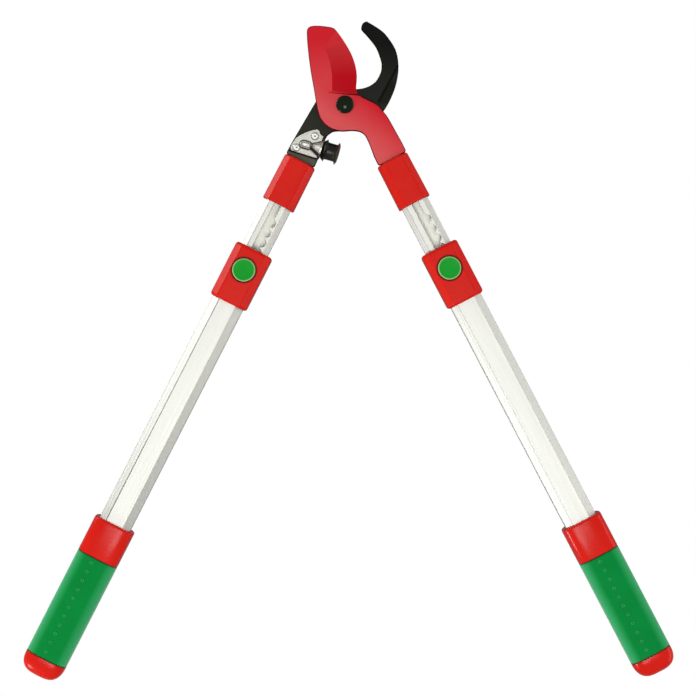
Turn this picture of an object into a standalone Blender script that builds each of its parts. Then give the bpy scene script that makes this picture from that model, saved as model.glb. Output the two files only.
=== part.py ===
"""Telescopic bypass lopper, half open and lying on its back.

Units are metres. +Z is up, out of the tool's front, and +Y runs from the grips to the jaws.
The origin is on the pivot axis, in the plane that the tool lies on.
Each arm is modelled in its own frame: X across the tube, Y back towards the pivot, Z from the tube's middle.
"""

import math

import bmesh
import bpy
from mathutils import Matrix, Vector

# Clearances
SEAT = 0.0003
PLATE_GAP = 0.0003
TUBE_PLAY = 0.0009
PIVOT_PLAY = 0.0001
BUTTON_PLAY = 0.0008

# Arms: angle from straight down, and place of the tube's axis beside the pivot
LEFT_ANGLE = math.radians(-27.05)
RIGHT_ANGLE = math.radians(27.6)
LEFT_OFFSET = -0.01315
RIGHT_OFFSET = 0.0151

# Drawn tubes, both octagonal
OUTER_WIDTH = 0.0308
OUTER_HEIGHT = 0.0220
OUTER_BEVEL = 0.0070
BEVEL_STEP = 0.0018
TUBE_WALL = 0.0015
INNER_SHRINK = TUBE_WALL + TUBE_PLAY
INNER_WIDTH = OUTER_WIDTH - 2 * INNER_SHRINK
INNER_HEIGHT = OUTER_HEIGHT - 2 * INNER_SHRINK
INNER_BEVEL = OUTER_BEVEL - BEVEL_STEP
OUTER_LENGTH = 0.3922
INNER_OVERLAP = 0.0616

# Notched slot in the inner tube's front wall, measured from the pivot along the arm
SLOT_WIDTH = 0.0070
SLOT_LEAD = 0.0220
SLOT_TAIL = 0.0090
NOTCH_RADIUS = 0.00435
NOTCH_SHIFT = 0.0027
NOTCH_FIRST = 0.1284
NOTCH_PITCH = 0.010
NOTCH_COUNT = 32
REST_NOTCH = 5
BUTTON_PLACE = NOTCH_FIRST + REST_NOTCH * NOTCH_PITCH
NOTCH_LAST = NOTCH_FIRST + (NOTCH_COUNT - 1) * NOTCH_PITCH
INNER_BOTTOM = NOTCH_LAST + INNER_OVERLAP

# Upper sleeve, which covers the joint of shank and tube
SLEEVE_TOP = 0.0649
SLEEVE_LENGTH = 0.0454
SLEEVE_WALL = 0.00195
SLEEVE_TAPER = 0.0004
SLEEVE_BEVEL = 0.0062
SLEEVE_LIP = 0.0025
SLEEVE_BOTTOM = SLEEVE_TOP + SLEEVE_LENGTH
INNER_TOP = SLEEVE_TOP + SLEEVE_LIP + SEAT

# Lock collar and its button, key and spring
COLLAR_ABOVE_BUTTON = 0.0213
COLLAR_LENGTH = 0.0548
COLLAR_WALL = 0.0025
COLLAR_BEVEL = 0.0067
COLLAR_SOCKET = 0.0190
WELL_FLOOR = 0.0012
WELL_DEPTH = 0.0054
BUTTON_RADIUS = 0.01065
BUTTON_PROUD = 0.0011
BUTTON_DISH = 0.0005
BUTTON_PLATE = 0.0014
BUTTON_SKIRT = 0.0014
BUTTON_TRAVEL = 0.0032
KEY_DISC = 0.0021
KEY_BOSS_WALL = 0.0014
KEY_CAP = 0.0008
SPRING_WIRE = 0.0008
SPRING_TURNS = 2.5
SPRING_TAPER = 0.0020
COLLAR_TOP = BUTTON_PLACE - COLLAR_ABOVE_BUTTON
COLLAR_BOTTOM = COLLAR_TOP + COLLAR_LENGTH
SOCKET_TOP = COLLAR_BOTTOM - COLLAR_SOCKET
OUTER_TOP = SOCKET_TOP + SEAT
OUTER_BOTTOM = OUTER_TOP + OUTER_LENGTH
FLOOR_LOW = INNER_HEIGHT / 2 + SEAT
FLOOR_HIGH = FLOOR_LOW + WELL_FLOOR
COLLAR_FRONT = FLOOR_HIGH + WELL_DEPTH
COLLAR_BACK = OUTER_HEIGHT / 2 + SEAT + COLLAR_WALL
COLLAR_WIDTH = OUTER_WIDTH + 2 * (SEAT + COLLAR_WALL)
SCREW_HEAD_RADIUS = 0.0029
SCREW_HEAD = 0.0013
SCREW_RADIUS = 0.0015

# Glide that plugs the inner tube's lower end
GLIDE_PLUG = 0.0200
GLIDE_FLANGE = 0.0045

# Two part grip: a hard core with collar and end cap, and a soft sleeve between them
GRIP_CORE_WALL = 0.00175
GRIP_RUBBER = 0.0020
GRIP_SQUARENESS = 3.4
GRIP_TOP = 0.4409
GRIP_COLLAR = 0.0355
GRIP_SOFT = 0.1033
GRIP_CAP = 0.0187
GRIP_RIM = 0.0022
GRIP_FLOOR = 0.0035
GRIP_WIDTH = OUTER_WIDTH + 2 * (2 * SEAT + GRIP_CORE_WALL + GRIP_RUBBER)
GRIP_HEIGHT = OUTER_HEIGHT + 2 * (2 * SEAT + GRIP_CORE_WALL + GRIP_RUBBER)
GRIP_SOFT_TOP = GRIP_TOP + GRIP_COLLAR
GRIP_SOFT_BOTTOM = GRIP_SOFT_TOP + GRIP_SOFT
MID = GRIP_HEIGHT / 2

# Shanks and tangs
SHANK_WIDTH = 0.0290
SHANK_SHIFT = 0.0008
SHANK_CORNER = 0.0022
SHANK_END = SLEEVE_TOP - SEAT
BLADE_THICKNESS = 0.0050
HOOK_THICKNESS = 0.0075
TANG_THICKNESS = 0.0046
TANG_INSET = 0.0002
TANG_LENGTH = 0.0420
TANG_ROOT = 0.0150
TANG_PLAY = 0.0005
TANG_BOTTOM = SHANK_END + TANG_LENGTH
PIN_RADIUS = 0.0025
PIN_PLACES = (0.0800, 0.0980)
BLADE_LOW = PLATE_GAP / 2
HOOK_HIGH = -PLATE_GAP / 2

# Blade outline, from the shank's inner edge round the heel, spine, tip and cutting edge to the shank's outer edge
BLADE_OUTLINE = (
    (0.0268, -0.0477), (0.0235, -0.0388), (0.0209, -0.0326), (0.0180, -0.0277), (0.0134, -0.0248),
    (0.0060, -0.0239), (-0.0042, -0.0244), (-0.0134, -0.0217), (-0.0209, -0.0154), (-0.0252, -0.0057),
    (-0.0285, 0.0135), (-0.0319, 0.0328), (-0.0343, 0.0520), (-0.0352, 0.0660), (-0.0344, 0.0703),
    (-0.0316, 0.0724), (-0.0246, 0.0730), (-0.0154, 0.0720), (-0.0115, 0.0711), (-0.0088, 0.0693),
    (-0.0020, 0.0607), (0.0050, 0.0492), (0.0094, 0.0375), (0.0110, 0.0267), (0.0104, 0.0144),
    (0.0135, 0.0086), (0.0207, 0.0048), (0.0300, -0.0002), (0.0355, -0.0063), (0.0402, -0.0125),
    (0.0486, -0.0276), (0.0528, -0.0351),
)
BLADE_RIM = 0.0007
EDGE_THICKNESS = 0.0010

# Ground face: the line where it starts, the cutting edge that it runs down to, and its part of the full depth
GRIND_START = (
    (-0.0119, 0.0106), (-0.0119, 0.0130), (-0.0119, 0.0208), (-0.0119, 0.0282), (-0.0138, 0.0390),
    (-0.0161, 0.0467), (-0.0192, 0.0522), (-0.0142, 0.0597), (-0.0087, 0.0672),
)
GRIND_END = (
    (0.0114, 0.0084), (0.0106, 0.0106), (0.0110, 0.0214), (0.0108, 0.0288), (0.0087, 0.0409),
    (0.0045, 0.0507), (-0.0002, 0.0581), (-0.0038, 0.0634), (-0.0065, 0.0680),
)
GRIND_DEPTHS = (0.0, 1.0, 1.0, 1.0, 1.0, 1.0, 1.0, 0.51, 0.105)
GRIND_REACH = 0.20

# Hook outline, from the shank's outer edge over the boss, round the jaw and back to the shank's inner edge
HOOK_OUTLINE = (
    (-0.0479, -0.0320), (-0.0370, -0.0135), (-0.0269, 0.0037), (-0.0222, 0.0112), (-0.0150, 0.0163),
    (-0.0050, 0.0175), (0.0030, 0.0160), (0.0108, 0.0151), (0.0201, 0.0169), (0.0282, 0.0219),
    (0.0329, 0.0302), (0.0339, 0.0366), (0.0333, 0.0420), (0.0290, 0.0537), (0.0213, 0.0638),
    (0.0158, 0.0698), (0.0151, 0.0725), (0.0165, 0.0760), (0.0197, 0.0777), (0.0224, 0.0766),
    (0.0331, 0.0698), (0.0393, 0.0636), (0.0470, 0.0513), (0.0496, 0.0366), (0.0478, 0.0213),
    (0.0424, 0.0065), (0.0354, -0.0054), (0.0270, -0.0140), (0.0150, -0.0205), (0.0030, -0.0231),
    (-0.0093, -0.0238), (-0.0140, -0.0259), (-0.0181, -0.0307), (-0.0248, -0.0489),
)
HOOK_FRONT_RIM = 0.0006
HOOK_BACK_RIM = 0.0015
RELIEF_LINE = ((0.0439, 0.0274), (0.0308, 0.0028))
RELIEF_SLOPE = math.radians(14)

# Pivot: domed bolt, washer and thin nut
BOLT_RADIUS = 0.0049
BOLT_HEAD_RADIUS = 0.0082
BOLT_HEAD_EDGE = 0.0016
BOLT_HEAD_DOME = 0.0028
WASHER_RADIUS = 0.0100
WASHER_THICKNESS = 0.0012
NUT_ACROSS_FLATS = 0.0170
NUT_THICKNESS = 0.0053
NUT_CHAMFER = 0.0008

# Stop: stamped bracket riveted to the hook's shank, with a rubber bumper on a pin
BRACKET_OUTLINE = (
    (-0.0264, -0.0488), (-0.0370, -0.0465), (-0.0471, -0.0427), (-0.0495, -0.0414), (-0.0504, -0.0389),
    (-0.0487, -0.0355), (-0.0454, -0.0305), (-0.0403, -0.0272), (-0.0337, -0.0242), (-0.0277, -0.0228),
    (-0.0256, -0.0224), (-0.0239, -0.0236), (-0.0227, -0.0272), (-0.0202, -0.0290),
)
BRACKET_SHEET = 0.0015
STOP_SEAT = (-0.0214, -0.0410)
STOP_ANGLE = math.radians(-16.3)
STOP_HEIGHT = BLADE_LOW + BLADE_THICKNESS / 2
STOP_DISC_RADIUS = 0.0095
HORN_LENGTH = 0.0105
HORN_SMALL = 0.0022
HORN_LARGE = 0.0078
BEAD_LENGTH = 0.0124
BEAD_RADIUS = 0.0040
BEAD_RISE = 0.0012
BEAD_SLOPE = 0.0010
BEAD_DIMPLE = 0.0014
BEAD_DIMPLE_DEPTH = 0.0007
RIVET_PLACES = ((-0.0277, -0.0287), (-0.0449, -0.0392))
RIVET_RADIUS = 0.0017
RIVET_HEAD_RADIUS = 0.0031
RIVET_HEAD = 0.0011
RIVET_DIMPLE = 0.0010
BUMPER_LENGTH = 0.0164
BUMPER_LIP_RADIUS = 0.0105
BUMPER_BODY_RADIUS = 0.0080
BUMPER_LIP_BACK = 0.0034
BUMPER_LIP_FRONT = 0.0020
STOP_PIN_RADIUS = 0.0020
STOP_PIN_TAIL = 0.0045
STOP_PIN_REACH = 0.0110

# Facets of round pieces
ROUND = 32
BUTTON_ROUND = 28
SMALL_ROUND = 16
TINY_ROUND = 12
SMOOTH_STEPS = 3
NOTCH_STEPS = 5
GRIP_POINTS = 28
SHARP_ANGLE = math.radians(32)

parts = None
cutters = None


# Scene, materials and placing

def clear_scene():
    for obj in list(bpy.data.objects):
        bpy.data.objects.remove(obj, do_unlink=True)


def new_collection(name):
    made = bpy.data.collections.new(name)
    bpy.context.scene.collection.children.link(made)
    return made


def material(name, colour, roughness, metallic=0.0):
    """One Principled material, made for one object."""
    made = bpy.data.materials.new(name)
    made.use_nodes = True
    shader = made.node_tree.nodes["Principled BSDF"]
    shader.inputs["Base Color"].default_value = (*colour, 1.0)
    shader.inputs["Roughness"].default_value = roughness
    shader.inputs["Metallic"].default_value = metallic
    return made


def blade_paint(name):
    return material(name, (0.62, 0.04, 0.05), 0.35)


def black_steel(name):
    return material(name, (0.015, 0.016, 0.012), 0.42, 0.3)


def bright_steel(name):
    return material(name, (0.72, 0.72, 0.70), 0.25, 1.0)


def aluminium(name):
    return material(name, (0.86, 0.86, 0.85), 0.34, 1.0)


def red_plastic(name):
    return material(name, (0.70, 0.025, 0.015), 0.38)


def green_plastic(name):
    return material(name, (0.02, 0.36, 0.06), 0.36)


def green_rubber(name):
    return material(name, (0.0, 0.27, 0.05), 0.62)


def black_rubber(name):
    return material(name, (0.012, 0.012, 0.012), 0.65)


def black_plastic(name):
    return material(name, (0.02, 0.02, 0.02), 0.5)


def empty(name, parent=None, location=(0.0, 0.0, 0.0), turn=0.0):
    """A frame that carries pieces; turn is about Z."""
    made = bpy.data.objects.new(name, None)
    made.empty_display_size = 0.02
    parts.objects.link(made)
    made.parent = parent
    made.location = location
    made.rotation_euler = (0.0, 0.0, turn)
    return made


def place(name, mesh, parent, finish=None):
    """Makes an object of a mesh: a part when it has a finish, and otherwise a cutter."""
    made = bpy.data.objects.new(name, mesh)
    home = parts if finish else cutters
    home.objects.link(made)
    made.parent = parent
    if finish:
        mesh.materials.append(finish(name))
        mesh.shade_smooth()
        mesh.set_sharp_from_angle(angle=SHARP_ANGLE)
    else:
        made.hide_render = True
        made.display_type = "WIRE"
    return made


def combine(target, other, operation):
    modifier = target.modifiers.new(f"{operation.title()} {other.name}", "BOOLEAN")
    modifier.operation = operation
    modifier.solver = "EXACT"
    modifier.object = other


def cut(target, *others):
    for other in others:
        combine(target, other, "DIFFERENCE")


def join(target, *others):
    for other in others:
        combine(target, other, "UNION")


# Shapes

def octagon(width, height, bevel, grow=0.0, lift=0.0):
    """Corners of a bevelled rectangle, grown outwards by grow and raised by lift."""
    a = width / 2 + grow
    b = height / 2 + grow
    c = bevel + grow * (2 - math.sqrt(2))
    right = [(a, c - b), (a, b - c), (a - c, b)]
    left = [(c - a, b), (-a, b - c), (-a, c - b), (c - a, -b)]
    return [(x, z + lift) for x, z in right + left + [(a - c, -b)]]


def softened(corners, fillet):
    """Each corner is replaced by two points, fillet away from it."""
    made = []
    for i, corner in enumerate(corners):
        here = Vector(corner)
        for other in (corners[i - 1], corners[(i + 1) % len(corners)]):
            way = (Vector(other) - here).normalized()
            made.append(tuple(here + way * fillet))
    return made


def superellipse(width, height, grow=0.0):
    """The grip's section: an oval with full corners."""
    a = width / 2 + grow
    b = height / 2 + grow
    power = 2 / GRIP_SQUARENESS
    made = []
    for i in range(GRIP_POINTS):
        angle = math.tau * i / GRIP_POINTS
        c = math.cos(angle)
        s = math.sin(angle)
        made.append((math.copysign(abs(c) ** power * a, c), math.copysign(abs(s) ** power * b, s)))
    return made


def circle(radius, count, centre=(0.0, 0.0)):
    steps = [math.tau * i / count for i in range(count)]
    return [(centre[0] + radius * math.cos(t), centre[1] + radius * math.sin(t)) for t in steps]


def arc(centre, radius, start, end, steps):
    angles = [start + (end - start) * i / steps for i in range(steps + 1)]
    return [(centre[0] + radius * math.cos(t), centre[1] + radius * math.sin(t)) for t in angles]


def smooth(points):
    """A Catmull-Rom curve through the points, ends included."""
    knots = [Vector(p) for p in points]
    knots = [2 * knots[0] - knots[1]] + knots + [2 * knots[-1] - knots[-2]]
    made = []
    for p0, p1, p2, p3 in zip(knots, knots[1:], knots[2:], knots[3:]):
        for i in range(SMOOTH_STEPS):
            t = i / SMOOTH_STEPS
            bend = (p2 - p0) * t + (2 * p0 - 5 * p1 + 4 * p2 - p3) * t ** 2
            bend += (3 * p1 - p0 - 3 * p2 + p3) * t ** 3
            made.append(tuple(p1 + bend / 2))
    made.append(tuple(knots[-2]))
    return made


def mesh_of(curve_object):
    """The curve's evaluated mesh, welded; the curve object goes."""
    bpy.context.view_layer.update()
    graph = bpy.context.evaluated_depsgraph_get()
    mesh = bpy.data.meshes.new_from_object(curve_object.evaluated_get(graph))
    bpy.data.objects.remove(curve_object, do_unlink=True)
    bm = bmesh.new()
    bm.from_mesh(mesh)
    bmesh.ops.remove_doubles(bm, verts=bm.verts, dist=1e-6)
    bmesh.ops.dissolve_limit(bm, angle_limit=math.radians(0.2), verts=bm.verts, edges=bm.edges)
    bmesh.ops.recalc_face_normals(bm, faces=bm.faces)
    bm.to_mesh(mesh)
    bm.free()
    return mesh


def flat_shape(name, outlines, low, high):
    """A plate between two heights; outlines after the first are holes in it."""
    curve = bpy.data.curves.new(name, "CURVE")
    curve.dimensions = "2D"
    curve.fill_mode = "BOTH"
    curve.extrude = (high - low) / 2
    for outline in outlines:
        spline = curve.splines.new("POLY")
        spline.points.add(len(outline) - 1)
        for point, (x, y) in zip(spline.points, outline):
            point.co = (x, y, 0.0, 1.0)
        spline.use_cyclic_u = True
    made = bpy.data.objects.new(name, curve)
    cutters.objects.link(made)
    mesh = mesh_of(made)
    mesh.transform(Matrix.Translation((0.0, 0.0, (low + high) / 2)))
    return mesh


def bevel_rim(mesh, height, width, keep=None):
    """Bevels the rim of a plate's face at a height; keep tells which places stay sharp."""
    bm = bmesh.new()
    bm.from_mesh(mesh)
    chosen = []
    for edge in bm.edges:
        level = all(abs(v.co.z - height) < 1e-6 for v in edge.verts)
        corner = edge.calc_face_angle(0.0) > math.radians(60)
        middle = (edge.verts[0].co + edge.verts[1].co) / 2
        if level and corner and not (keep and keep(middle)):
            chosen.append(edge)
    bmesh.ops.bevel(bm, geom=chosen, offset=width, segments=1, profile=0.5, affect="EDGES")
    bm.to_mesh(mesh)
    bm.free()
    return mesh


def tube_shape(name, sections, top, bottom):
    """A bar along the arm from sections; sections after the first are hollows through it."""
    mesh = flat_shape(name, sections, top, bottom)
    mesh.transform(Matrix.Rotation(math.radians(90), 4, "X"))
    return mesh


def loft(name, rings):
    """A closed body through sections at places along the arm; all have the same number of points."""
    bm = bmesh.new()
    rows = [[bm.verts.new((x, -along, z)) for x, z in section] for along, section in rings]
    count = len(rows[0])
    for first, second in zip(rows, rows[1:]):
        for i in range(count):
            j = (i + 1) % count
            bm.faces.new((first[i], first[j], second[j], second[i]))
    bm.faces.new(rows[0])
    bm.faces.new(rows[-1])
    bmesh.ops.recalc_face_normals(bm, faces=bm.faces)
    mesh = bpy.data.meshes.new(name)
    bm.to_mesh(mesh)
    bm.free()
    return mesh


def turned(name, profile, parent, finish, count=ROUND):
    """A turned piece; the profile's points are (radius, height), outer side first, from the top down."""
    mesh = bpy.data.meshes.new(name)
    points = [(r, 0.0, z) for r, z in profile]
    mesh.from_pydata(points, [(i, i + 1) for i in range(len(points) - 1)], [])
    made = place(name, mesh, parent, finish)
    screw = made.modifiers.new("Turn", "SCREW")
    screw.steps = count
    screw.render_steps = count
    screw.use_merge_vertices = True
    screw.merge_threshold = 0.00001
    screw.use_smooth_shade = True
    return made


def cylinder(name, radius, low, high, count=SMALL_ROUND, centre=(0.0, 0.0), end_radius=None):
    """A cylinder or cone along Z."""
    bm = bmesh.new()
    end = radius if end_radius is None else end_radius
    middle = Matrix.Translation((*centre, (low + high) / 2))
    bmesh.ops.create_cone(
        bm, cap_ends=True, segments=count, radius1=radius, radius2=end, depth=high - low, matrix=middle
    )
    mesh = bpy.data.meshes.new(name)
    bm.to_mesh(mesh)
    bm.free()
    return mesh


def along_x(mesh):
    mesh.transform(Matrix.Rotation(math.radians(90), 4, "Y"))
    return mesh


def box(name, low, high):
    bm = bmesh.new()
    size = Vector(high) - Vector(low)
    middle = (Vector(high) + Vector(low)) / 2
    bmesh.ops.create_cube(bm, size=1.0, matrix=Matrix.Translation(middle) @ Matrix.Diagonal((*size, 1.0)))
    mesh = bpy.data.meshes.new(name)
    bm.to_mesh(mesh)
    bm.free()
    return mesh


# Arm geometry

def bore_half_width(height):
    """Half the width of the inner tube's bore at a height over its middle."""
    flat = INNER_HEIGHT / 2 - INNER_BEVEL + TUBE_WALL * (1 - math.sqrt(2))
    return INNER_WIDTH / 2 - TUBE_WALL - max(0.0, abs(height) - flat)


TANG_HIGH = BLADE_LOW + TANG_INSET + TANG_THICKNESS
TANG_HALF_WIDTH = bore_half_width(TANG_HIGH) - TANG_PLAY


def shank_point(side, across, along):
    """A place in the plane of the plates, given in an arm's frame; across is positive outwards."""
    angle = RIGHT_ANGLE if side > 0 else LEFT_ANGLE
    offset = RIGHT_OFFSET if side > 0 else LEFT_OFFSET
    x = offset + side * across
    y = -along
    return (x * math.cos(angle) - y * math.sin(angle), x * math.sin(angle) + y * math.cos(angle))


def shank_end(side):
    """The shank's rounded end, from its outer corner to its inner one."""
    half = SHANK_WIDTH / 2 - SHANK_CORNER
    low = SHANK_END - SHANK_CORNER
    outer = arc((SHANK_SHIFT + half, low), SHANK_CORNER, 0.0, math.pi / 2, 3)
    inner = arc((SHANK_SHIFT - half, low), SHANK_CORNER, math.pi / 2, math.pi, 3)
    return [shank_point(side, across, along) for across, along in outer + inner]


def add_tang(plate, side, arm):
    """Joins the tang to a shank, and cuts the pin holes through it."""
    high = TANG_HIGH if side > 0 else -TANG_HIGH + TANG_THICKNESS
    low = high - TANG_THICKNESS
    tang = box(
        f"{plate.name} tang",
        (-TANG_HALF_WIDTH, -TANG_BOTTOM, low),
        (TANG_HALF_WIDTH, -SHANK_END + TANG_ROOT, high),
    )
    join(plate, place(f"{plate.name} tang", tang, arm))
    cut_pin_holes(plate, arm)


def cut_pin_holes(target, arm):
    for i, along in enumerate(PIN_PLACES):
        reach = INNER_HEIGHT
        hole = cylinder(f"{target.name} pin hole {i}", PIN_RADIUS + SEAT, -reach, reach, centre=(0.0, -along))
        cut(target, place(hole.name, hole, arm))


# Head

def in_grind(point):
    """Whether a place is on the cutting edge, whose rim isn't bevelled."""
    return GRIND_END[0][1] < point.y < GRIND_END[-1][1] and point.x > GRIND_START[6][0]


def grind_cutter(parent):
    """What the grinder takes off the blade's front: a ruled face from its start down to the cutting edge."""
    top = BLADE_LOW + BLADE_THICKNESS
    lid = top + BLADE_THICKNESS
    bm = bmesh.new()
    rows = []
    for start, end, depth in zip(GRIND_START, GRIND_END, GRIND_DEPTHS):
        drop = (BLADE_THICKNESS - EDGE_THICKNESS) * depth
        run = Vector(end) - Vector(start)
        near = Vector(start) - run * GRIND_REACH
        far = Vector(end) + run * GRIND_REACH
        rise = drop * GRIND_REACH
        rows.append([
            bm.verts.new((*near, top + rise)), bm.verts.new((*far, top - drop - rise)),
            bm.verts.new((*far, lid)), bm.verts.new((*near, lid)),
        ])
    for first, second in zip(rows, rows[1:]):
        for i in range(4):
            j = (i + 1) % 4
            bm.faces.new((first[i], first[j], second[j], second[i]))
    bm.faces.new(rows[0])
    bm.faces.new(rows[-1])
    bmesh.ops.triangulate(bm, faces=bm.faces)
    bmesh.ops.recalc_face_normals(bm, faces=bm.faces)
    mesh = bpy.data.meshes.new("blade grind")
    bm.to_mesh(mesh)
    bm.free()
    return place("blade grind", mesh, parent)


def make_blade(pivot, arm):
    high = BLADE_LOW + BLADE_THICKNESS
    outline = smooth(BLADE_OUTLINE) + shank_end(1)
    mesh = flat_shape("blade", [outline], BLADE_LOW, high)
    bevel_rim(mesh, high, BLADE_RIM, keep=in_grind)
    blade = place("blade", mesh, pivot, blade_paint)
    cut(blade, grind_cutter(pivot))
    bore = cylinder("blade bore", BOLT_RADIUS + PIVOT_PLAY, -high, 2 * high, ROUND)
    cut(blade, place("blade bore", bore, pivot))
    add_tang(blade, 1, arm)
    return blade


def relief_cutter(parent):
    """A wedge that slopes the hook's outer margin down from the relief line."""
    upper = Vector(RELIEF_LINE[0])
    lower = Vector(RELIEF_LINE[1])
    way = (upper - lower).normalized()
    size = (upper - lower).length
    wedge = box("hook relief", (0.0, -size, 0.0), (size, 2 * size, size))
    wedge.transform(Matrix.Rotation(RELIEF_SLOPE, 4, "Y"))
    wedge.transform(Matrix.Rotation(math.atan2(way.y, way.x) - math.pi / 2, 4, "Z"))
    wedge.transform(Matrix.Translation((*lower, HOOK_HIGH)))
    return place("hook relief", wedge, parent)


def make_hook(pivot, arm):
    low = HOOK_HIGH - HOOK_THICKNESS
    outline = smooth(HOOK_OUTLINE) + list(reversed(shank_end(-1)))
    mesh = flat_shape("hook", [outline], low, HOOK_HIGH)
    bevel_rim(mesh, HOOK_HIGH, HOOK_FRONT_RIM)
    bevel_rim(mesh, low, HOOK_BACK_RIM)
    hook = place("hook", mesh, pivot, black_steel)
    cut(hook, relief_cutter(pivot))
    bore = cylinder("hook bore", BOLT_RADIUS + PIVOT_PLAY, 2 * low, -low, ROUND)
    cut(hook, place("hook bore", bore, pivot))
    add_tang(hook, -1, arm)
    for i, centre in enumerate(RIVET_PLACES):
        hole = cylinder(f"hook rivet hole {i}", RIVET_RADIUS + SEAT, 2 * low, -low, centre=centre)
        cut(hook, place(hole.name, hole, pivot))
    return hook


def make_pivot(pivot):
    """Bolt, washer and nut; the bolt's end is the origin."""
    under_head = BLADE_LOW + BLADE_THICKNESS + SEAT
    edge = under_head + BOLT_HEAD_EDGE
    ball = (BOLT_HEAD_RADIUS ** 2 + BOLT_HEAD_DOME ** 2) / (2 * BOLT_HEAD_DOME)
    half = math.asin(BOLT_HEAD_RADIUS / ball)
    dome = []
    for i in range(6):
        t = half * i / 5
        dome.append((ball * math.sin(t), edge + BOLT_HEAD_DOME - ball * (1 - math.cos(t))))
    shank = [(BOLT_HEAD_RADIUS, under_head), (BOLT_RADIUS, under_head), (BOLT_RADIUS, -MID), (0.0, -MID)]
    turned("pivot_bolt", dome + shank, pivot, black_steel)

    high = HOOK_HIGH - HOOK_THICKNESS - SEAT
    bore = circle(BOLT_RADIUS + PIVOT_PLAY, ROUND)
    washer = flat_shape("pivot_washer", [circle(WASHER_RADIUS, ROUND), bore], high - WASHER_THICKNESS, high)
    place("pivot_washer", washer, pivot, bright_steel)

    high = high - WASHER_THICKNESS - SEAT
    low = high - NUT_THICKNESS
    corner = NUT_ACROSS_FLATS / math.sqrt(3)
    nut = place("pivot_nut", flat_shape("pivot_nut", [circle(corner, 6), bore], low, high), pivot, black_steel)
    flat = NUT_ACROSS_FLATS / 2
    over = corner + NUT_CHAMFER
    shaper = turned(
        "nut shaper",
        [(0.0, high + NUT_CHAMFER), (over, high + NUT_CHAMFER), (over, low + NUT_CHAMFER), (flat, low - 1e-5),
         (0.0, low - 1e-5)],
        pivot, None,
    )
    combine(nut, shaper, "INTERSECT")


# Stop on the hook's shank

def make_bracket(pivot, stop):
    """Base plate, horn, bead and upright disc, pressed from one sheet."""
    low = HOOK_HIGH + SEAT
    high = low + BRACKET_SHEET
    under = low - BRACKET_SHEET
    mesh = flat_shape("bumper_bracket", [BRACKET_OUTLINE], under, high)
    bracket = place("bumper_bracket", mesh, pivot, bright_steel)

    start = -HORN_LENGTH - BRACKET_SHEET / 2
    end = -BRACKET_SHEET / 2
    sink = high - STOP_HEIGHT
    horn = along_x(cylinder("bracket horn", HORN_SMALL, start, end, end_radius=HORN_LARGE))
    horn.transform(Matrix.Translation((0.0, 0.0, sink)))
    disc = along_x(cylinder("bracket disc", STOP_DISC_RADIUS, -BRACKET_SHEET, 0.0, ROUND))
    bead_end = start + HORN_SMALL
    bead_start = bead_end - BEAD_LENGTH
    inset = BEAD_RADIUS - BEAD_DIMPLE
    bead = flat_shape("bracket bead", [capsule(bead_start, bead_end, BEAD_RADIUS)], -BRACKET_SHEET, BEAD_RISE)
    bevel_rim(bead, BEAD_RISE, BEAD_SLOPE)
    bead.transform(Matrix.Translation((0.0, 0.0, sink)))
    join(bracket, place("bracket horn", horn, stop), place("bracket disc", disc, stop))
    join(bracket, place("bracket bead", bead, stop))

    hollow = along_x(cylinder("bracket hollow", SEAT, start, -BRACKET_SHEET, end_radius=HORN_LARGE - BRACKET_SHEET))
    hollow.transform(Matrix.Translation((0.0, 0.0, sink)))
    hole = along_x(cylinder("bracket pin hole", STOP_PIN_RADIUS + SEAT, -2 * BRACKET_SHEET, BRACKET_SHEET))
    pit = capsule(bead_start + inset, bead_end - inset, BEAD_DIMPLE)
    dimple = flat_shape("bracket dimple", [pit], BEAD_RISE - BEAD_DIMPLE_DEPTH, 2 * BEAD_RISE)
    dimple.transform(Matrix.Translation((0.0, 0.0, sink)))
    reach = 2 * STOP_DISC_RADIUS
    floor = box("bracket floor", (-3 * reach, -reach, -reach), (reach, reach, low - STOP_HEIGHT))
    for mesh in (hollow, hole, dimple, floor):
        cut(bracket, place(mesh.name, mesh, stop))
    for i, centre in enumerate(RIVET_PLACES):
        name = f"bracket rivet hole {i}"
        cut(bracket, place(name, cylinder(name, RIVET_RADIUS + SEAT, under, 2 * high, centre=centre), pivot))


def capsule(start, end, radius):
    """A slot shape along X with round ends."""
    right = arc((end - radius, 0.0), radius, -math.pi / 2, math.pi / 2, 8)
    left = arc((start + radius, 0.0), radius, math.pi / 2, 1.5 * math.pi, 8)
    return right + left


def make_rivets(pivot):
    """Two rivets through bracket and hook, with a low dome in front and a flat head behind."""
    seat = HOOK_HIGH + BRACKET_SHEET + 2 * SEAT
    back = HOOK_HIGH - HOOK_THICKNESS - SEAT
    side = RIVET_HEAD * 0.35
    profile = [
        (0.0, seat + RIVET_HEAD * 0.5), (RIVET_DIMPLE * 0.6, seat + RIVET_HEAD * 0.6),
        (RIVET_DIMPLE, seat + RIVET_HEAD), (RIVET_HEAD_RADIUS * 0.75, seat + RIVET_HEAD * 0.8),
        (RIVET_HEAD_RADIUS, seat + side),
        (RIVET_HEAD_RADIUS, seat), (RIVET_RADIUS, seat), (RIVET_RADIUS, back),
        (RIVET_HEAD_RADIUS, back), (RIVET_HEAD_RADIUS, back - side), (RIVET_HEAD_RADIUS * 0.8, back - 2 * side),
        (0.0, back - 2 * side),
    ]
    for i, centre in enumerate(RIVET_PLACES):
        carrier = empty(f"bracket_rivet_{i + 1}_axis", pivot, (*centre, 0.0))
        turned(f"bracket_rivet_{i + 1}", profile, carrier, bright_steel, TINY_ROUND)


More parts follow.
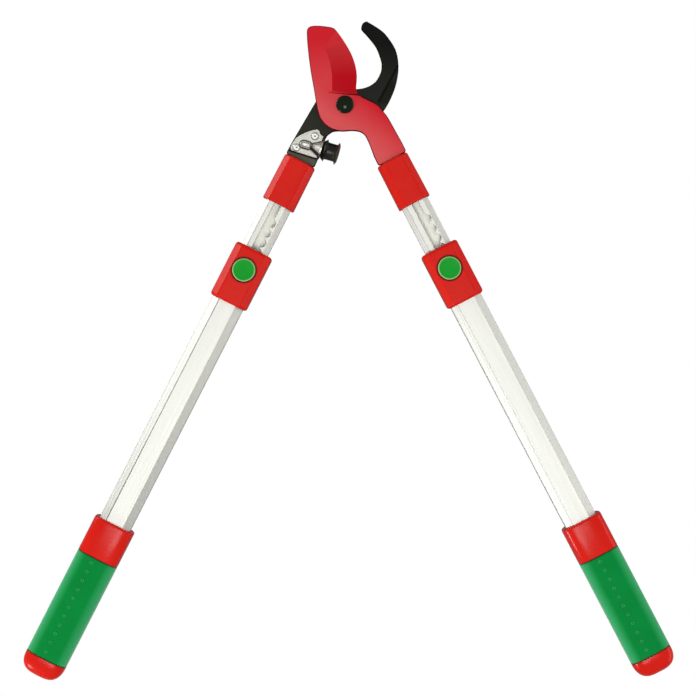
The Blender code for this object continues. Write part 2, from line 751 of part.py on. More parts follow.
def make_bumper(stop):
    """Rubber spool with two sharp lips, on a pin riveted into the bracket's disc."""
    front = BUMPER_LENGTH
    lip = BUMPER_LIP_RADIUS
    body = BUMPER_BODY_RADIUS
    hole = STOP_PIN_RADIUS + SEAT
    depth = STOP_PIN_REACH + SEAT
    profile = [
        (0.0, front), (body * 0.6, front - 0.0001), (body, front - 0.0004),
        (lip - 0.0008, front - BUMPER_LIP_FRONT * 0.7), (lip, front - BUMPER_LIP_FRONT),
        (lip - 0.0004, front - BUMPER_LIP_FRONT - 0.0003), (body + 0.0006, front - BUMPER_LIP_FRONT - 0.0008),
        (body, front - BUMPER_LIP_FRONT - 0.0018), (body, BUMPER_LIP_BACK + 0.0018),
        (body + 0.0006, BUMPER_LIP_BACK + 0.0008), (lip - 0.0004, BUMPER_LIP_BACK + 0.0003),
        (lip, BUMPER_LIP_BACK), (lip - 0.0008, BUMPER_LIP_BACK - 0.0006), (body + 0.0004, SEAT + 0.0006),
        (body - 0.0004, SEAT), (hole, SEAT), (hole, depth), (0.0, depth),
    ]
    bumper = turned("bumper", profile, stop, black_rubber)
    bumper.rotation_euler = (0.0, math.radians(90), 0.0)
    pin = along_x(cylinder("bumper_pin", STOP_PIN_RADIUS, -STOP_PIN_TAIL, STOP_PIN_REACH))
    place("bumper_pin", pin, stop, bright_steel)


# Telescopic arms

def slot_outline():
    """Straight on one side, with round notches on the other."""
    half = SLOT_WIDTH / 2
    top = NOTCH_FIRST - SLOT_LEAD
    bottom = NOTCH_LAST + SLOT_TAIL
    open_angle = math.acos((half - NOTCH_SHIFT) / NOTCH_RADIUS)
    points = [(half, -top), (-half, -top), (-half, -bottom), (half, -bottom)]
    for i in reversed(range(NOTCH_COUNT)):
        centre = (NOTCH_SHIFT, -NOTCH_FIRST - i * NOTCH_PITCH)
        points += arc(centre, NOTCH_RADIUS, -open_angle, open_angle, NOTCH_STEPS)
    return points


def make_inner_tube(side_name, arm):
    section = octagon(INNER_WIDTH, INNER_HEIGHT, INNER_BEVEL)
    bore = octagon(INNER_WIDTH, INNER_HEIGHT, INNER_BEVEL, -TUBE_WALL)
    name = f"{side_name}_inner_tube"
    tube = place(name, tube_shape(name, [section, bore], INNER_TOP, INNER_BOTTOM), arm, aluminium)
    middle = INNER_HEIGHT / 2 - TUBE_WALL
    slot = flat_shape(f"{name} slot", [slot_outline()], middle - TUBE_WALL, middle + 2 * TUBE_WALL)
    cut(tube, place(slot.name, slot, arm))
    cut_pin_holes(tube, arm)

    glide_bore = octagon(INNER_WIDTH, INNER_HEIGHT, INNER_BEVEL, -TUBE_WALL - SEAT)
    flange = octagon(OUTER_WIDTH, OUTER_HEIGHT, OUTER_BEVEL, -TUBE_WALL - SEAT)
    seat = INNER_BOTTOM + SEAT
    rings = [
        (INNER_BOTTOM - GLIDE_PLUG, glide_bore), (seat, glide_bore), (seat, flange), (seat + GLIDE_FLANGE, flange),
    ]
    place(f"{side_name}_tube_glide", loft(f"{side_name}_tube_glide", rings), arm, black_plastic)


def make_tang_fixings(side_name, side, arm):
    """Packing that fills the bore behind the tang, and the two pins through tube, tang and packing."""
    a = INNER_WIDTH / 2 - TUBE_WALL - SEAT
    b = INNER_HEIGHT / 2 - TUBE_WALL - SEAT
    c = INNER_BEVEL - (TUBE_WALL + SEAT) * (2 - math.sqrt(2))
    face = TANG_HIGH - TANG_THICKNESS - SEAT
    half = [(a, -face), (a, b - c), (a - c, b), (c - a, b), (-a, b - c), (-a, -face)]
    section = [(x, -side * z) for x, z in half]
    name = f"{side_name}_tang_packing"
    packing = place(name, tube_shape(name, [section], INNER_TOP, TANG_BOTTOM), arm, black_plastic)
    cut_pin_holes(packing, arm)
    reach = INNER_HEIGHT / 2
    for i, along in enumerate(PIN_PLACES):
        name = f"{side_name}_tang_pin_{i + 1}"
        place(name, cylinder(name, PIN_RADIUS, -reach, reach, centre=(0.0, -along)), arm, bright_steel)


def make_sleeve(side_name, side, arm):
    grow = SEAT + SLEEVE_WALL
    rings = []
    for along, more in (
        (SLEEVE_TOP, -0.0008), (SLEEVE_TOP + 0.0012, 0.0),
        (SLEEVE_BOTTOM - 0.0006, SLEEVE_TAPER), (SLEEVE_BOTTOM, SLEEVE_TAPER - 0.0005),
    ):
        width = INNER_WIDTH + 2 * (grow + more)
        height = INNER_HEIGHT + 2 * (grow + more)
        rings.append((along, softened(octagon(width, height, SLEEVE_BEVEL), 0.0008)))
    name = f"{side_name}_sleeve"
    sleeve = place(name, loft(name, rings), arm, red_plastic)
    bore = octagon(INNER_WIDTH, INNER_HEIGHT, INNER_BEVEL, SEAT)
    hollow = tube_shape(f"{name} hollow", [bore], SLEEVE_TOP + SLEEVE_LIP, SLEEVE_BOTTOM + SLEEVE_LIP)
    high = TANG_HIGH + SEAT
    low = TANG_HIGH - TANG_THICKNESS - SEAT
    if side < 0:
        low, high = -high, -low
    half = TANG_HALF_WIDTH + SEAT
    mouth = box(
        f"{name} mouth", (-half, -SLEEVE_TOP - 2 * SLEEVE_LIP, low), (half, -SLEEVE_TOP + SLEEVE_LIP, high)
    )
    cut(sleeve, place(hollow.name, hollow, arm), place(mouth.name, mouth, arm))


def make_collar(side_name, handle, press):
    height = COLLAR_FRONT + COLLAR_BACK
    lift = (COLLAR_FRONT - COLLAR_BACK) / 2
    rings = []
    for along, more in (
        (COLLAR_TOP, -0.0014), (COLLAR_TOP + 0.0006, -0.0005), (COLLAR_TOP + 0.0016, 0.0),
        (COLLAR_BOTTOM - 0.0016, 0.0), (COLLAR_BOTTOM - 0.0006, -0.0005), (COLLAR_BOTTOM, -0.0014),
    ):
        section = octagon(COLLAR_WIDTH, height, COLLAR_BEVEL, more, lift)
        rings.append((along, softened(section, 0.0009)))
    name = f"{side_name}_lock_collar"
    collar = place(name, loft(name, rings), handle, red_plastic)
    guide = octagon(INNER_WIDTH, INNER_HEIGHT, INNER_BEVEL, SEAT)
    socket = octagon(OUTER_WIDTH, OUTER_HEIGHT, OUTER_BEVEL, SEAT)
    passage = tube_shape(f"{name} passage", [guide], COLLAR_TOP - COLLAR_WALL, COLLAR_BOTTOM + COLLAR_WALL)
    seat = tube_shape(f"{name} socket", [socket], SOCKET_TOP, COLLAR_BOTTOM + COLLAR_WALL)
    well = cylinder(f"{name} well", BUTTON_RADIUS + BUTTON_PLAY, FLOOR_HIGH, 2 * COLLAR_FRONT, ROUND)
    key_way = cylinder(f"{name} key way", SLOT_WIDTH / 2 + BUTTON_PLAY / 2, 0.0, COLLAR_FRONT)
    cut(collar, place(passage.name, passage, handle), place(seat.name, seat, handle))
    cut(collar, place(well.name, well, press), place(key_way.name, key_way, press))
    return collar


def make_lock(side_name, handle, press):
    """Button, key and spring; the key's disc sits in a notch until the button pushes it below the wall."""
    top = COLLAR_FRONT + BUTTON_PROUD
    skirt = FLOOR_HIGH + SEAT + BUTTON_TRAVEL
    under = top - BUTTON_DISH - BUTTON_PLATE
    post = SLOT_WIDTH / 2 - SEAT
    hole = post + SEAT
    boss = hole + KEY_BOSS_WALL
    hole_top = top - BUTTON_DISH - KEY_CAP
    inside = BUTTON_RADIUS - BUTTON_SKIRT
    profile = [
        (0.0, top - BUTTON_DISH), (BUTTON_RADIUS * 0.45, top - BUTTON_DISH * 0.88),
        (BUTTON_RADIUS * 0.75, top - BUTTON_DISH * 0.5), (BUTTON_RADIUS - 0.0013, top),
        (BUTTON_RADIUS - 0.0007, top - 0.0001), (BUTTON_RADIUS - 0.0002, top - 0.0005),
        (BUTTON_RADIUS, top - 0.0010), (BUTTON_RADIUS, skirt), (inside, skirt), (inside, under), (boss, under),
        (boss, skirt), (hole, skirt), (hole, hole_top), (0.0, hole_top),
    ]
    turned(f"{side_name}_lock_button", profile, press, green_plastic, BUTTON_ROUND)

    name = f"{side_name}_lock_key"
    disc_top = INNER_HEIGHT / 2
    key = place(name, cylinder(name, post, disc_top - KEY_DISC, hole_top - SEAT), press, bright_steel)
    disc = cylinder(
        f"{name} disc", NOTCH_RADIUS - SEAT, disc_top - KEY_DISC + 1e-5, disc_top, 24, (NOTCH_SHIFT, 0.0)
    )
    join(key, place(disc.name, disc, press))

    name = f"{side_name}_lock_spring"
    wide = inside - SEAT - SPRING_WIRE / 2
    low = FLOOR_HIGH + SEAT + SPRING_WIRE / 2
    high = under - SEAT - SPRING_WIRE / 2
    place(name, spring(name, wide, wide - SPRING_TAPER, low, high), press, bright_steel)


def spring(name, low_radius, high_radius, low, high):
    """A conical coil, wide at the bottom."""
    count = int(SPRING_TURNS * 10)
    curve = bpy.data.curves.new(name, "CURVE")
    curve.dimensions = "3D"
    curve.bevel_depth = SPRING_WIRE / 2
    curve.bevel_resolution = 1
    curve.use_fill_caps = True
    spline = curve.splines.new("POLY")
    spline.points.add(count)
    for i, point in enumerate(spline.points):
        part = i / count
        angle = math.tau * SPRING_TURNS * part
        radius = low_radius + (high_radius - low_radius) * part
        height = low + (high - low) * part
        point.co = (radius * math.cos(angle), radius * math.sin(angle), height, 1.0)
    made = bpy.data.objects.new(name, curve)
    cutters.objects.link(made)
    return mesh_of(made)


def make_outer_tube(side_name, handle, collar):
    section = octagon(OUTER_WIDTH, OUTER_HEIGHT, OUTER_BEVEL)
    bore = octagon(OUTER_WIDTH, OUTER_HEIGHT, OUTER_BEVEL, -TUBE_WALL)
    name = f"{side_name}_outer_tube"
    tube = place(name, tube_shape(name, [section, bore], OUTER_TOP, OUTER_BOTTOM), handle, aluminium)
    along = (SOCKET_TOP + COLLAR_BOTTOM) / 2
    screw_axis = empty(f"{side_name}_collar_screw_axis", handle, (0.0, -along, -COLLAR_BACK))
    hole = cylinder(f"{side_name} screw hole", SCREW_RADIUS + SEAT, -COLLAR_BACK, COLLAR_BACK / 2, centre=(0.0, 0.0))
    sink = cylinder(f"{side_name} screw sink", SCREW_HEAD_RADIUS + SEAT, -COLLAR_BACK, SCREW_HEAD + SEAT)
    cut(collar, place(sink.name, sink, screw_axis))
    for target in (collar, tube):
        cut(target, place(f"{target.name} screw hole", hole.copy(), screw_axis))
    tip = COLLAR_WALL + SEAT + TUBE_WALL
    profile = [
        (0.0, tip), (SCREW_RADIUS * 0.7, tip), (SCREW_RADIUS, tip - SCREW_RADIUS * 0.3), (SCREW_RADIUS, SCREW_HEAD),
        (SCREW_HEAD_RADIUS, SCREW_HEAD), (SCREW_HEAD_RADIUS, SCREW_HEAD * 0.2), (SCREW_HEAD_RADIUS * 0.9, 0.0),
        (0.0, 0.0),
    ]
    screw = turned(f"{side_name}_collar_screw", profile, screw_axis, bright_steel, TINY_ROUND)
    width = SCREW_HEAD_RADIUS * 0.14
    reach = SCREW_HEAD_RADIUS * 0.62
    for i, (x, y) in enumerate(((reach, width), (width, reach))):
        name = f"{side_name} screw slot {i}"
        slot = box(name, (-x, -y, -SCREW_HEAD), (x, y, SCREW_HEAD * 0.55))
        cut(screw, place(name, slot, screw_axis))


def make_grip(side_name, handle):
    """Core with collar, waist and domed end cap, and the soft sleeve round its waist."""
    waist = -GRIP_RUBBER - SEAT
    rings = [
        (GRIP_TOP, superellipse(GRIP_WIDTH, GRIP_HEIGHT, -GRIP_RIM * 0.75)),
        (GRIP_TOP + GRIP_RIM * 0.3, superellipse(GRIP_WIDTH, GRIP_HEIGHT, -GRIP_RIM * 0.25)),
        (GRIP_TOP + GRIP_RIM, superellipse(GRIP_WIDTH, GRIP_HEIGHT)),
        (GRIP_SOFT_TOP - SEAT, superellipse(GRIP_WIDTH, GRIP_HEIGHT)),
        (GRIP_SOFT_TOP - SEAT, superellipse(GRIP_WIDTH, GRIP_HEIGHT, waist)),
        (GRIP_SOFT_BOTTOM + SEAT, superellipse(GRIP_WIDTH, GRIP_HEIGHT, waist)),
        (GRIP_SOFT_BOTTOM + SEAT, superellipse(GRIP_WIDTH, GRIP_HEIGHT)),
    ]
    steps = 7
    shoulder = GRIP_SOFT_BOTTOM + GRIP_CAP * 0.22
    for i in range(steps):
        angle = math.radians(82) * i / (steps - 1)
        scale = math.cos(angle) ** 0.62
        along = shoulder + GRIP_CAP * 0.78 * math.sin(angle) / math.sin(math.radians(82))
        rings.append((along, superellipse(GRIP_WIDTH * scale, GRIP_HEIGHT * scale)))
    name = f"{side_name}_grip_core"
    core = place(name, loft(name, rings), handle, red_plastic)
    socket = octagon(OUTER_WIDTH, OUTER_HEIGHT, OUTER_BEVEL, SEAT)
    hollow = tube_shape(f"{name} socket", [socket], GRIP_TOP - GRIP_FLOOR, OUTER_BOTTOM + SEAT)
    cut(core, place(hollow.name, hollow, handle))

    name = f"{side_name}_grip_sleeve"
    outside = superellipse(GRIP_WIDTH, GRIP_HEIGHT)
    inside = superellipse(GRIP_WIDTH, GRIP_HEIGHT, -GRIP_RUBBER)
    mesh = tube_shape(name, [outside, inside], GRIP_SOFT_TOP, GRIP_SOFT_BOTTOM)
    place(name, mesh, handle, green_rubber)


def make_arm(side_name, side, arm):
    """One telescopic arm on its tube's axis; the handle slides along it and the button presses into the handle."""
    handle = empty(f"{side_name}_slide_axis", arm)
    press = empty(f"{side_name}_press_axis", handle, (0.0, -BUTTON_PLACE, 0.0))
    make_inner_tube(side_name, arm)
    make_tang_fixings(side_name, side, arm)
    make_sleeve(side_name, side, arm)
    collar = make_collar(side_name, handle, press)
    make_lock(side_name, handle, press)
    make_outer_tube(side_name, handle, collar)
    make_grip(side_name, handle)


def make_lopper():
    global parts, cutters
    clear_scene()
    parts = new_collection("telescopic_lopper")
    cutters = new_collection("cutters")
    hook_side = empty("hook_side", location=(0.0, 0.0, MID))
    blade_side = empty("blade_side", location=(0.0, 0.0, MID))
    left_turn = empty("left_turn", hook_side, turn=LEFT_ANGLE)
    right_turn = empty("right_turn", blade_side, turn=RIGHT_ANGLE)
    left_arm = empty("left_tube_axis", left_turn, (LEFT_OFFSET, 0.0, 0.0))
    right_arm = empty("right_tube_axis", right_turn, (RIGHT_OFFSET, 0.0, 0.0))
    stop = empty("stop_axis", hook_side, (*STOP_SEAT, STOP_HEIGHT), STOP_ANGLE)
    make_hook(hook_side, left_arm)
    make_blade(blade_side, right_arm)
    make_pivot(hook_side)
    make_bracket(hook_side, stop)
    make_rivets(hook_side)
    make_bumper(stop)
    make_arm("left", -1, left_arm)
    make_arm("right", 1, right_arm)


make_lopper()
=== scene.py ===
"""Looks of the telescopic bypass lopper: finer pieces, materials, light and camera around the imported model."""
import math

import bmesh
import bpy
from mathutils import Matrix, Vector


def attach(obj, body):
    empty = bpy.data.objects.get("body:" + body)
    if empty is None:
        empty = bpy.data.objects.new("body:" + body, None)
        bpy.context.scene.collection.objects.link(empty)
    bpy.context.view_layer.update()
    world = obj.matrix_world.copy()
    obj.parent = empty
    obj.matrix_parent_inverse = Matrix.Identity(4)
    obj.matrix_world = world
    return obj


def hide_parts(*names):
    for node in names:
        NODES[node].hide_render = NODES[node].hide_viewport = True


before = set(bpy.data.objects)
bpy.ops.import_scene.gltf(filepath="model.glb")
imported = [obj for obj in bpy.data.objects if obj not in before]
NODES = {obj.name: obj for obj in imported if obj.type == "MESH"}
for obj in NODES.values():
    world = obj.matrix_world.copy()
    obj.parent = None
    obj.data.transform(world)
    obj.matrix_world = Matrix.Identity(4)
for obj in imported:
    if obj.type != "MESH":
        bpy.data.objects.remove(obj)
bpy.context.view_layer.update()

# Sizes in metres, as in the part's source
MID = 0.01535
SEAT = 0.0003
HALF_PLAY = 0.00015
BLADE_THICKNESS = 0.0050
HOOK_THICKNESS = 0.0075
PLATE_THICKNESS = 0.0015
# Each arm's angle, and how far its middle line passes from the pivot
ARMS = {
    "left": (math.radians(-27.05), -0.01315),
    "right": (math.radians(27.6), 0.0151),
}
INNER_WIDTH = 0.0260
INNER_HEIGHT = 0.0172
INNER_BEVEL = 0.0052
OUTER_WIDTH = 0.0308
OUTER_HEIGHT = 0.0220
OUTER_BEVEL = 0.0070
COLLAR_TOP = 0.1571
COLLAR_BOTTOM = 0.2119
COLLAR_SOCKET = 0.0190
COLLAR_WIDTH = 0.0364
COLLAR_BEVEL = 0.0067
COLLAR_FRONT = 0.0155
COLLAR_BACK = 0.0138
WELL_FLOOR = 0.0101
WELL_RADIUS = 0.01145
KEY_WAY = 0.0039
BUTTON_PLACE = 0.1784
BUTTON_RADIUS = 0.01065
BUTTON_TOP = 0.0166
BUTTON_FLOOR = 0.0104
BUTTON_SKIRT = 0.0036
BUTTON_WALL = 0.0014
BUTTON_SKIN = 0.0022
GRIP_WIDTH = 0.0395
GRIP_HEIGHT = 0.0307
GRIP_TOP = 0.4409
GRIP_SOFT_TOP = 0.4764
GRIP_SOFT_BOTTOM = 0.5797
GRIP_END = 0.59835
GRIP_SQUARENESS = 3.4
GRIP_RECESS = 0.0023
GRIP_SOFT_DEPTH = 0.0019
BOLT_RADIUS = 0.0082
BOLT_RIM = 0.0016
BOLT_DOME = 0.0028
BOLT_SHANK = 0.0049
RIVETS = ((-0.0277, -0.0287), (-0.0449, -0.0392))
RIVET_HEAD = 0.0031
RIVET_RISE = 0.0011
RIVET_SHANK = 0.0017
STOP_SEAT = (-0.0214, -0.0410, MID + 0.00265)
STOP_ANGLE = math.radians(-16.3)
BUMPER_FRONT = 0.0164
BUMPER_BACK = 0.0034
BUMPER_LIP = 0.0105
BUMPER_CORE = 0.0080
PIN_BORE = 0.0023
PIN_REACH = 0.0113
# The bracket's bead and horn along the stop's axis, and its lower edge along the left arm
BEAD_MIDDLE = -0.01525
BEAD_HALF = 0.0022
HORN_START = -0.01125
HORN_SMALL = 0.0022
HORN_FLARE = 0.0056 / 0.0105
BRACKET_END = 0.0578
BRACKET_SLOPE = 0.17
# Upper and lower end of the foot of the hook's ground relief
RELIEF_LINE = ((0.0439, 0.0274), (0.0308, 0.0028))

# Forms that are finer than the part's source
COLLAR_END_INSET = 0.0026
COLLAR_END_REACH = 0.0030
COLLAR_CORNER = 0.0022
BORE_OVERSHOOT = 0.0030
CAP_SHOULDER = 0.22
CAP_TURN = math.radians(86)
CAP_FULLNESS = 0.62
CAP_STEPS = 16
SLEEVE_STEPS = 24
NIB_COUNT = 11
NIB_ACROSS = -0.0023
NIB_START = 0.4812
NIB_PITCH = 0.00915
NIB_SINK = 0.00025
NIB_PROFILE = (
    (0.0, 0.0), (0.0006, 0.0), (0.0007, 0.00040), (0.0009, 0.00062), (0.0012, 0.00066), (0.0015, 0.00050),
    (0.0017, 0.0), (0.0017, -0.0003), (0.0, -0.0003),
)

# Fine dark lines along each tube's left bevel: place across the arm, half width, strength
DARK_BEVEL_LINES = {
    "left": ((-0.0084, 0.0008, 0.60), (-0.0116, 0.0008, 0.10), (-0.0147, 0.0006, 0.16)),
    "right": ((-0.0090, 0.0006, 0.30), (-0.0110, 0.0005, 0.20), (-0.0149, 0.0006, 0.30)),
}
BLACK_TONE = (0.0, 0.0, 0.0)
SAME_POINT = 0.000001
SAME_NODE_POINT = 0.000005

SENSOR = 36.0
CAMERA_DISTANCE = 1.8
CAMERA_FIELD = 0.644
CAMERA_CENTRE = (0.0028, -0.2245)
FLOOR_CENTRE = (0.0, -0.25, -0.0005)
FLOOR_HALF = 4.0
TENT_COLOUR = (1.0, 0.995, 0.985, 1.0)
PAPER_COLOUR = (0.40, 0.40, 0.39, 1.0)
# The tent's strength near the ground and overhead, and the heights between which it grows
TENT_LOW = 0.22
TENT_HIGH = 0.52
TENT_FADE_START = 0.05
TENT_FADE_END = 0.55
# Name, place, aim, width, height and power of each softbox
LIGHTS = (
    ("overhead", (0.0, -0.70, 2.4), (0.0, -0.2, 0.0), 0.85, 0.85, 20.0),
    ("left_high", (-1.7, 0.85, 0.08), (0.0, -0.10, 0.0), 0.9, 0.14, 12.2),
    ("left_low", (-1.7, -1.25, 0.15), (0.1, -0.25, 0.0), 1.3, 0.25, 1.5),
    ("foot", (-1.43, -1.51, 0.50), (-0.28, -0.52, 0.015), 0.40, 0.40, 13.5),
    ("right_side", (1.9, -0.12, 0.35), (0.0, -0.20, 0.0), 3.0, 0.6, 15.0),
)


# Shader building

class Shader:
    """A Principled material with a few helpers for its procedural nodes."""

    def __init__(self, name, colour, roughness, metallic=0.0, specular=0.5):
        self.material = bpy.data.materials.new(name)
        self.material.use_nodes = True
        self.tree = self.material.node_tree
        self.out = self.tree.nodes["Principled BSDF"]
        self.out.inputs["Base Color"].default_value = (*colour, 1.0)
        self.out.inputs["Roughness"].default_value = roughness
        self.out.inputs["Metallic"].default_value = metallic
        self.out.inputs["Specular IOR Level"].default_value = specular
        self.bump = None

    def node(self, kind, **inputs):
        made = self.tree.nodes.new(kind)
        for key, value in inputs.items():
            made.inputs[key.replace("_", " ")].default_value = value
        return made

    def link(self, a, b):
        self.tree.links.new(a, b)

    def place(self, turn=0.0, scale=(1.0, 1.0, 1.0), shift=(0.0, 0.0, 0.0)):
        """Object coordinates, turned about Z, then shifted, then scaled."""
        turned_node = self.node("ShaderNodeMapping", Location=shift, Rotation=(0.0, 0.0, turn))
        self.link(self.node("ShaderNodeTexCoord").outputs["Object"], turned_node.inputs["Vector"])
        scaled = self.node("ShaderNodeMapping", Scale=scale)
        self.link(turned_node.outputs["Vector"], scaled.inputs["Vector"])
        return scaled.outputs["Vector"]

    def noise(self, scale, vector=None, detail=3.0):
        made = self.node("ShaderNodeTexNoise", Scale=scale, Detail=detail, Roughness=0.55)
        self.link(vector or self.place(), made.inputs["Vector"])
        return made.outputs["Fac"]

    def span(self, value, low, high, to_low=0.0, to_high=1.0):
        """Maps low..high of a value onto to_low..to_high, and no further."""
        made = self.node("ShaderNodeMapRange", From_Min=low, From_Max=high, To_Min=to_low, To_Max=to_high)
        self.link(value, made.inputs["Value"])
        return made.outputs["Result"]

    def maths(self, operation, a, b=0.0):
        made = self.tree.nodes.new("ShaderNodeMath")
        made.operation = operation
        for slot, value in zip(made.inputs, (a, b)):
            if isinstance(value, (int, float)):
                slot.default_value = value
            else:
                self.link(value, slot)
        return made.outputs["Value"]

    def plus(self, a, b):
        return self.maths("ADD", a, b)

    def minus(self, a, b):
        return self.maths("SUBTRACT", a, b)

    def times(self, a, b):
        return self.maths("MULTIPLY", a, b)

    def most(self, a, b):
        return self.maths("MAXIMUM", a, b)

    def least(self, a, b):
        return self.maths("MINIMUM", a, b)

    def mix(self, factor, a, b):
        made = self.tree.nodes.new("ShaderNodeMix")
        made.data_type = "RGBA"
        self.link(factor, made.inputs["Factor"])
        for slot, value in ((made.inputs[6], a), (made.inputs[7], b)):
            if isinstance(value, tuple):
                slot.default_value = (*value, 1.0)
            else:
                self.link(value, slot)
        return made.outputs[2]

    def dim(self, tone, factor):
        """Multiplies a colour by a grey factor."""
        return self.mix(factor, BLACK_TONE, tone)

    def mottle(self, scale, a, b, detail=4.0, high=0.7):
        """A colour that wanders between two in soft patches."""
        return self.mix(self.span(self.noise(scale, detail=detail), 0.3, high), a, b)

    def grain(self, scale, low, high, detail=3.0):
        """A roughness that wanders between two."""
        return self.span(self.noise(scale, detail=detail), 0.3, 0.7, low, high)

    def split(self, vector):
        """The X, Y and Z of a vector."""
        made = self.node("ShaderNodeSeparateXYZ")
        self.link(vector, made.inputs["Vector"])
        return made.outputs["X"], made.outputs["Y"], made.outputs["Z"]

    def tilt(self):
        """How squarely the surface faces up: 1 on a flat front, 0 on an upright side, -1 on a flat back."""
        return self.split(self.node("ShaderNodeNewGeometry").outputs["Normal"])[2]

    def flat(self):
        """How squarely the surface faces up or down: 1 on a flat front or back, 0 on an upright side."""
        return self.maths("ABSOLUTE", self.tilt())

    def gap(self, value, centre):
        """The distance of a value from a centre."""
        return self.maths("ABSOLUTE", self.minus(value, centre))

    def length(self, x, y):
        """The length of a flat vector."""
        return self.maths("SQRT", self.plus(self.times(x, x), self.times(y, y)))

    def away(self, x, y, point):
        """The distance of a place from a flat point."""
        return self.length(self.minus(x, point[0]), self.minus(y, point[1]))

    def arm_axes(self, side):
        """Across the arm, along it from the pivot, and height above the ground."""
        angle, offset = ARMS[side]
        across, back, height = self.split(self.place(turn=-angle, shift=(-offset, 0.0, 0.0)))
        return across, self.times(back, -1.0), height

    def stop_axes(self):
        """Along the stop's axis from its seat, and across it."""
        seat = Matrix.Rotation(-STOP_ANGLE, 2) @ Vector(STOP_SEAT[:2])
        return self.split(self.place(turn=-STOP_ANGLE, shift=(-seat.x, -seat.y, 0.0)))[:2]

    def past_bracket(self):
        """How far a point lies past the bracket's lower edge, toward the left sleeve."""
        across, along, _ = self.arm_axes("left")
        return self.minus(self.plus(along, self.times(across, BRACKET_SLOPE)), BRACKET_END)

    def from_seam(self, along):
        """The distance from the nearer seam between a grip's hard and soft plastic."""
        return self.least(self.gap(along, GRIP_SOFT_TOP), self.gap(along, GRIP_SOFT_BOTTOM))

    def colour(self, value):
        self.link(value, self.out.inputs["Base Color"])

    def rough(self, value):
        self.link(value, self.out.inputs["Roughness"])

    def relief(self, height, distance, strength):
        """Adds a bump on top of the earlier ones."""
        made = self.node("ShaderNodeBump", Strength=strength, Distance=distance)
        self.link(height, made.inputs["Height"])
        if self.bump:
            self.link(self.bump, made.inputs["Normal"])
        self.bump = made.outputs["Normal"]
        self.link(self.bump, self.out.inputs["Normal"])


# Materials: colours are linear, and spans are in metres along the part's axes or in tilt from 0 to 1

def blade_paint():
    """Crimson enamel: painted shade on the ground bevel and thin upright edges, painted light on the tip facet,
    and a painted reflection round the curve.
    """
    spine = (0.65, 0.015, 0.026)
    s = Shader("blade_paint_coat", spine, 0.30, specular=0.06)
    tilt = s.tilt()
    x, y, _ = s.split(s.place())
    # Painted shade on the tilted ground bevel, darker toward its lower end, and painted light on the paler tip
    # facet.
    bevel = s.times(s.span(tilt, 0.9985, 0.9955), s.span(tilt, 0.93, 0.945))
    tip = s.times(s.span(tilt, 0.966, 0.958), s.span(tilt, 0.943, 0.947))
    ground = s.mix(s.span(y, 0.026, 0.056), (0.490, 0.0030, 0.0100), (0.600, 0.0280, 0.0340))
    tone = s.mix(bevel, spine, ground)
    tone = s.mix(tip, tone, (0.61, 0.024, 0.032))
    # Painted reflection: a patchy pale haze round the blade's curve and on its lower left part, weaker on the
    # ground bevel.
    reflection_at_curve = s.span(s.plus(s.times(x, 0.8), y), 0.0205, -0.0215, 0.0, 0.99)
    back = s.times(s.span(y, 0.060, 0.020, 0.0, 0.45), s.span(x, -0.003, -0.014))
    painted_reflection = s.times(s.most(back, reflection_at_curve), s.span(s.noise(22.0, detail=4.0), 0.25, 0.75, 0.75, 1.1))
    painted_reflection = s.times(painted_reflection, s.span(bevel, 0.0, 1.0, 1.0, 0.08))
    tone = s.mix(painted_reflection, tone, (0.73, 0.104, 0.110))
    # Painted shade on the thin upright edges.
    edge = s.span(s.flat(), 0.90, 0.80)
    s.colour(s.mix(edge, tone, (0.13, 0.002, 0.006)))
    s.rough(s.mix(edge, s.grain(60.0, 0.27, 0.34), (0.8, 0.8, 0.8)))
    s.relief(s.noise(900.0, detail=2.0), 0.00001, 0.3)
    return s.material


def black_steel():
    """Blackened steel: a painted sheen toward the shank, painted shade on edges and at the relief's foot, and
    painted shadow and light at the bracket.
    """
    s = Shader("black_steel_oxide", (0.006, 0.006, 0.004), 0.36, specular=0.08)
    tone = s.mottle(35.0, (0.0030, 0.0034, 0.0022), (0.0052, 0.0056, 0.0036), detail=5.0, high=0.75)
    _, y, _ = s.split(s.place())
    # Painted sheen: paler toward the shank.
    tone = s.mix(s.span(y, 0.055, -0.025), tone, (0.0270, 0.0285, 0.0205))
    tone = s.mix(s.span(y, -0.025, -0.058), tone, (0.070, 0.062, 0.048))
    front = s.span(s.tilt(), 0.0, 0.3)

    # Painted shadow under the bracket's lower edge, and painted light on a paler strip past it.
    past = s.past_bracket()
    shadow = s.times(s.span(s.gap(past, 0.0005), 0.0008, 0.0004, 0.0, 0.95), front)
    tone = s.mix(shadow, tone, BLACK_TONE)
    tone = s.mix(s.times(s.span(past, 0.0010, 0.0020), front), tone, (0.124, 0.112, 0.082))

    # Painted shade over the relief's foot, with a darker painted shadow line along it.
    upper, lower = (Vector(p) for p in RELIEF_LINE)
    lean = math.atan2(upper.x - lower.x, upper.y - lower.y)
    foot = Matrix.Rotation(lean, 2) @ lower
    across, along, _ = s.split(s.place(turn=lean, shift=(-foot.x, -foot.y, 0.0)))
    wedge = s.times(s.span(across, -0.0002, 0.0010, 0.0, 0.6), s.span(along, 0.026, 0.020))
    wedge = s.times(s.times(wedge, front), s.span(y, -0.001, 0.003))
    tone = s.mix(wedge, tone, (0.0040, 0.0044, 0.0028))
    line = s.times(s.span(s.gap(across, 0.0), 0.0016, 0.0006), s.span(along, -0.001, 0.001))
    tone = s.mix(s.times(line, front), tone, (0.0010, 0.0010, 0.0006))

    # Painted shade on upright edges.
    edge = s.span(s.flat(), 0.95, 0.85)
    s.colour(s.mix(edge, tone, (0.0006, 0.0006, 0.0004)))
    s.rough(s.mix(edge, s.grain(90.0, 0.34, 0.46, detail=4.0), (0.85, 0.85, 0.85)))
    s.relief(s.noise(1400.0), 0.00002, 0.35)
    return s.material


